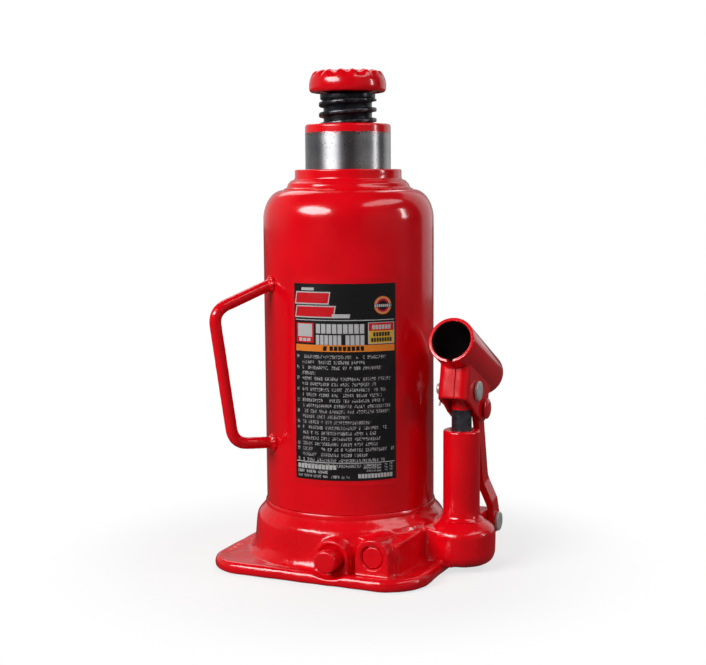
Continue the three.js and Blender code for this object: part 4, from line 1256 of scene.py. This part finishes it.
def build():
    enamel, cast = red_enamel(), cast_enamel()
    steel, oxide = plain_steel(), black_oxide("black_oxide_finish")
    zinc_plate, black_rubber = zinc(), rubber()
    finishes = {
        "painted_casting": cast,
        "red_enamel": enamel,
        "ground_steel": steel,
        "ball_steel": ball_steel(),
        "black_oxide_steel": oxide,
        "zinc_plated_steel": zinc_plate,
        "seal_rubber": black_rubber,
        "copper_washer": copper(),
        "printed_label": label_print(),
    }
    for name, slot in SLOTS.items():
        node = frame["nodes"][name]
        node.data.materials.clear()
        node.data.materials.append(finishes[slot])

    lug_at, pin_at = (LUG.y, LUG.z), (0, PIN_Z)
    piece("base_casting_skin", base_casting_mesh(), cast, "base", "base_casting", 60)
    piece("reservoir", shell_mesh(), enamel, "base", "reservoir_shell")
    piece("top_nut_skin", nut_mesh(), enamel, "base", "top_nut")
    piece("wiper_ring", wiper_mesh(), black_rubber, "base", "ram_wiper")
    piece("filler_bung", filler_mesh(), black_rubber, "base", "filler_plug")
    piece("carry_rod", handle_mesh(), enamel, "base", "carry_handle", 60)
    piece("pump_barrel", cylinder_mesh(), enamel, "base", "pump_cylinder")
    piece("lug_pin_headed", pin_mesh("lug_pin", lug_at), zinc_plate, "base", "lug_pin")
    piece("lug_split_pin", cotter_mesh("lug_cotter", lug_at), zinc_plate, "base", "lug_cotter")
    piece("port_cap", port_plug_mesh(), cast, "base", "port_plug")

    edge = (LABEL_LOW.z - 3.0, LABEL_HIGH.z + 3.0)
    label = sheet_mesh(SHELL_R + GAP, SHELL_R + 2 * GAP, LABEL_HALF, LABEL_LOW.z, LABEL_HIGH.z)
    piece("label_sheet", label, finishes["printed_label"], "base", "label")
    border = sheet_mesh(SHELL_R + 0.05, SHELL_R + 0.25, LABEL_HALF + math.radians(2.6), *edge)
    piece("label_edge", border, film(), "base")

    piece("ram_rod", ram_mesh(), ram_steel(), "ram", "ram")
    piece("screw_rod", screw_mesh(), oxide, "screw", "extension_screw", 50)
    piece("saddle_pad", saddle_mesh(), enamel, "screw", "saddle")

    plunger_black = black_oxide("plunger_finish", painted_from=86.4, tone=2.6)
    piece("plunger_rod", plunger_mesh(), plunger_black, "plunger", "pump_plunger")
    piece("plunger_pin_headed", pin_mesh("plunger_pin", pin_at), zinc_plate, "plunger", "plunger_pin")
    piece("plunger_split_pin", cotter_mesh("plunger_cotter", pin_at), zinc_plate, "plunger", "plunger_cotter")
    # the socket's second finish paints shade into its bore
    piece("socket", socket_mesh(), [enamel, socket_bore_shade()], "handle_socket", "handle_socket", 60)
    piece("rivet", rivet_mesh(), enamel, "handle_socket", "link_rivet")
    piece("link_left", link_mesh(-1), enamel, "link", "link_plate_left", 60)
    piece("link_right", link_mesh(1), enamel, "link", "link_plate_right", 60)
    piece("release_stem", stem_mesh(), cast, "release_valve", "release_valve_stem")


# ---- floor, light and camera ----

CAMERA_PLACE = (0.2860, -0.6470, 0.2047)
CAMERA_TURN = (23.684, 6.532, -0.391)
CAMERA_LENS = 66.44
CAMERA_SIDE = -66.15  # direction from the jack to the camera, seen from above
FLOOR_PAINT = 0.92
FLOOR_DIFFUSE = 0.22
FLOOR_MIRRORED = 0.06


def stage_floor():
    """Pale to the camera with a soft contact shadow; dim in reflections and in bounced light."""
    work = bmesh.new()
    bmesh.ops.create_circle(work, cap_ends=True, segments=96, radius=6.0)
    mesh = bpy.data.meshes.new("floor")
    work.to_mesh(mesh)
    work.free()
    floor = bpy.data.objects.new("floor", mesh)
    bpy.context.scene.collection.objects.link(floor)
    floor.location.z = -0.0002
    material = bpy.data.materials.new("floor_finish")
    material.use_nodes = True
    tree = material.node_tree
    tree.nodes.clear()

    def shader(kind, value):
        return add_node(tree, kind, Color=(value, value, value)).outputs[0]

    def blend(share, low, high):
        node = add_node(tree, "MixShader", Fac=share)
        feed(node.inputs[1], low)
        feed(node.inputs[2], high)
        return node.outputs[0]

    rays = add_node(tree, "LightPath").outputs
    length = add_node(tree, "VectorMath")
    length.operation = "LENGTH"
    feed(length.inputs[0], add_node(tree, "TexCoord").outputs["Object"])
    away = Field(length.outputs["Value"]).ramp(0.09, 0.18) * 0.30 + 0.70
    pale = blend(away, shader("BsdfDiffuse", FLOOR_PAINT), shader("Emission", 1.0))
    mirrored = shader("Emission", FLOOR_MIRRORED)
    dim = blend(rays["Is Glossy Ray"], shader("BsdfDiffuse", FLOOR_DIFFUSE), mirrored)
    add_node(tree, "OutputMaterial", Surface=blend(rays["Is Camera Ray"], dim, pale))
    mesh.materials.append(material)


# glow of the room in reflections: side from the camera in degrees, spread, radiance
ROOM_GLOWS = ((52, 0.75, 0.13), (170, 0.45, 0.30), (-128, 0.55, 0.30))
ROOM_MIRRORED = 0.025
ROOM_DIFFUSE = 0.08


def room_light():
    """White to the camera, mostly dark in reflections, a soft fill otherwise."""
    world = bpy.data.worlds.new("studio")
    bpy.context.scene.world = world
    world.use_nodes = True
    tree = world.node_tree
    tree.nodes.clear()
    rays = add_node(tree, "LightPath").outputs
    place = add_node(tree, "TexCoord").outputs["Generated"]
    camera, glossy = Field(rays["Is Camera Ray"]), Field(rays["Is Glossy Ray"])
    rest = (camera + glossy) * -1.0 + 1.0
    room = ROOM_MIRRORED
    for side, spread, radiance in ROOM_GLOWS:
        turn = math.radians(CAMERA_SIDE + side)
        facing = add_node(tree, "VectorMath")
        facing.operation = "DOT_PRODUCT"
        feed(facing.inputs[0], place)
        feed(facing.inputs[1], (math.cos(turn), math.sin(turn), 0))
        room = Field(facing.outputs["Value"]).ramp(spread, 1.0) * radiance + room
    strength = camera + glossy * room + rest * ROOM_DIFFUSE
    back = add_node(tree, "Background", Color=(1, 1, 1), Strength=strength)
    add_node(tree, "OutputWorld", Surface=back.outputs[0])


LAMP_DISTANCE = 1.5
LAMP_AIM = Vector((0, 0, 0.12))


def soft_box(name, side, rise, width, height, radiance, shape="ELLIPSE"):
    """A lamp `side` degrees to the right of the camera as seen from the jack, `rise` degrees up."""
    turn, up = math.radians(CAMERA_SIDE + side), math.radians(rise)
    away = Vector((math.cos(turn) * math.cos(up), math.sin(turn) * math.cos(up), math.sin(up)))
    data = bpy.data.lights.new(name, "AREA")
    data.shape = shape
    data.size, data.size_y = width, height
    data.energy = math.pi * radiance * width * height * (math.pi / 4 if shape == "ELLIPSE" else 1)
    lamp = bpy.data.objects.new(name, data)
    bpy.context.scene.collection.objects.link(lamp)
    lamp.location = LAMP_AIM + away * LAMP_DISTANCE
    lamp.rotation_euler = (-away).to_track_quat("-Z", "Y").to_euler()


def light_stage():
    room_light()
    stage_floor()
    soft_box("key", -49, 28, 1.15, 0.53, 13.5)
    soft_box("fill", 60, 48, 1.5, 0.40, 3)
    soft_box("strip", 79, 16, 0.14, 0.50, 13, "RECTANGLE")
    soft_box("rim", 134, 18, 1.1, 1.6, 0.5, "RECTANGLE")
    soft_box("back", 190, 45, 1.2, 0.8, 2, "RECTANGLE")


def place_camera():
    data = bpy.data.cameras.new("camera")
    data.lens = CAMERA_LENS
    data.sensor_width = 36
    data.clip_start = 0.01
    camera = bpy.data.objects.new("camera", data)
    bpy.context.scene.collection.objects.link(camera)
    azimuth, down, roll = (math.radians(angle) for angle in CAMERA_TURN)
    turn = (
        Matrix.Rotation(azimuth, 4, "Z")
        @ Matrix.Rotation(math.pi / 2 - down, 4, "X")
        @ Matrix.Rotation(roll, 4, "Z")
    )
    camera.matrix_world = Matrix.Translation(CAMERA_PLACE) @ turn
    bpy.context.scene.camera = camera


build()
light_stage()
place_camera()
bpy.context.scene.view_settings.view_transform = "Standard"
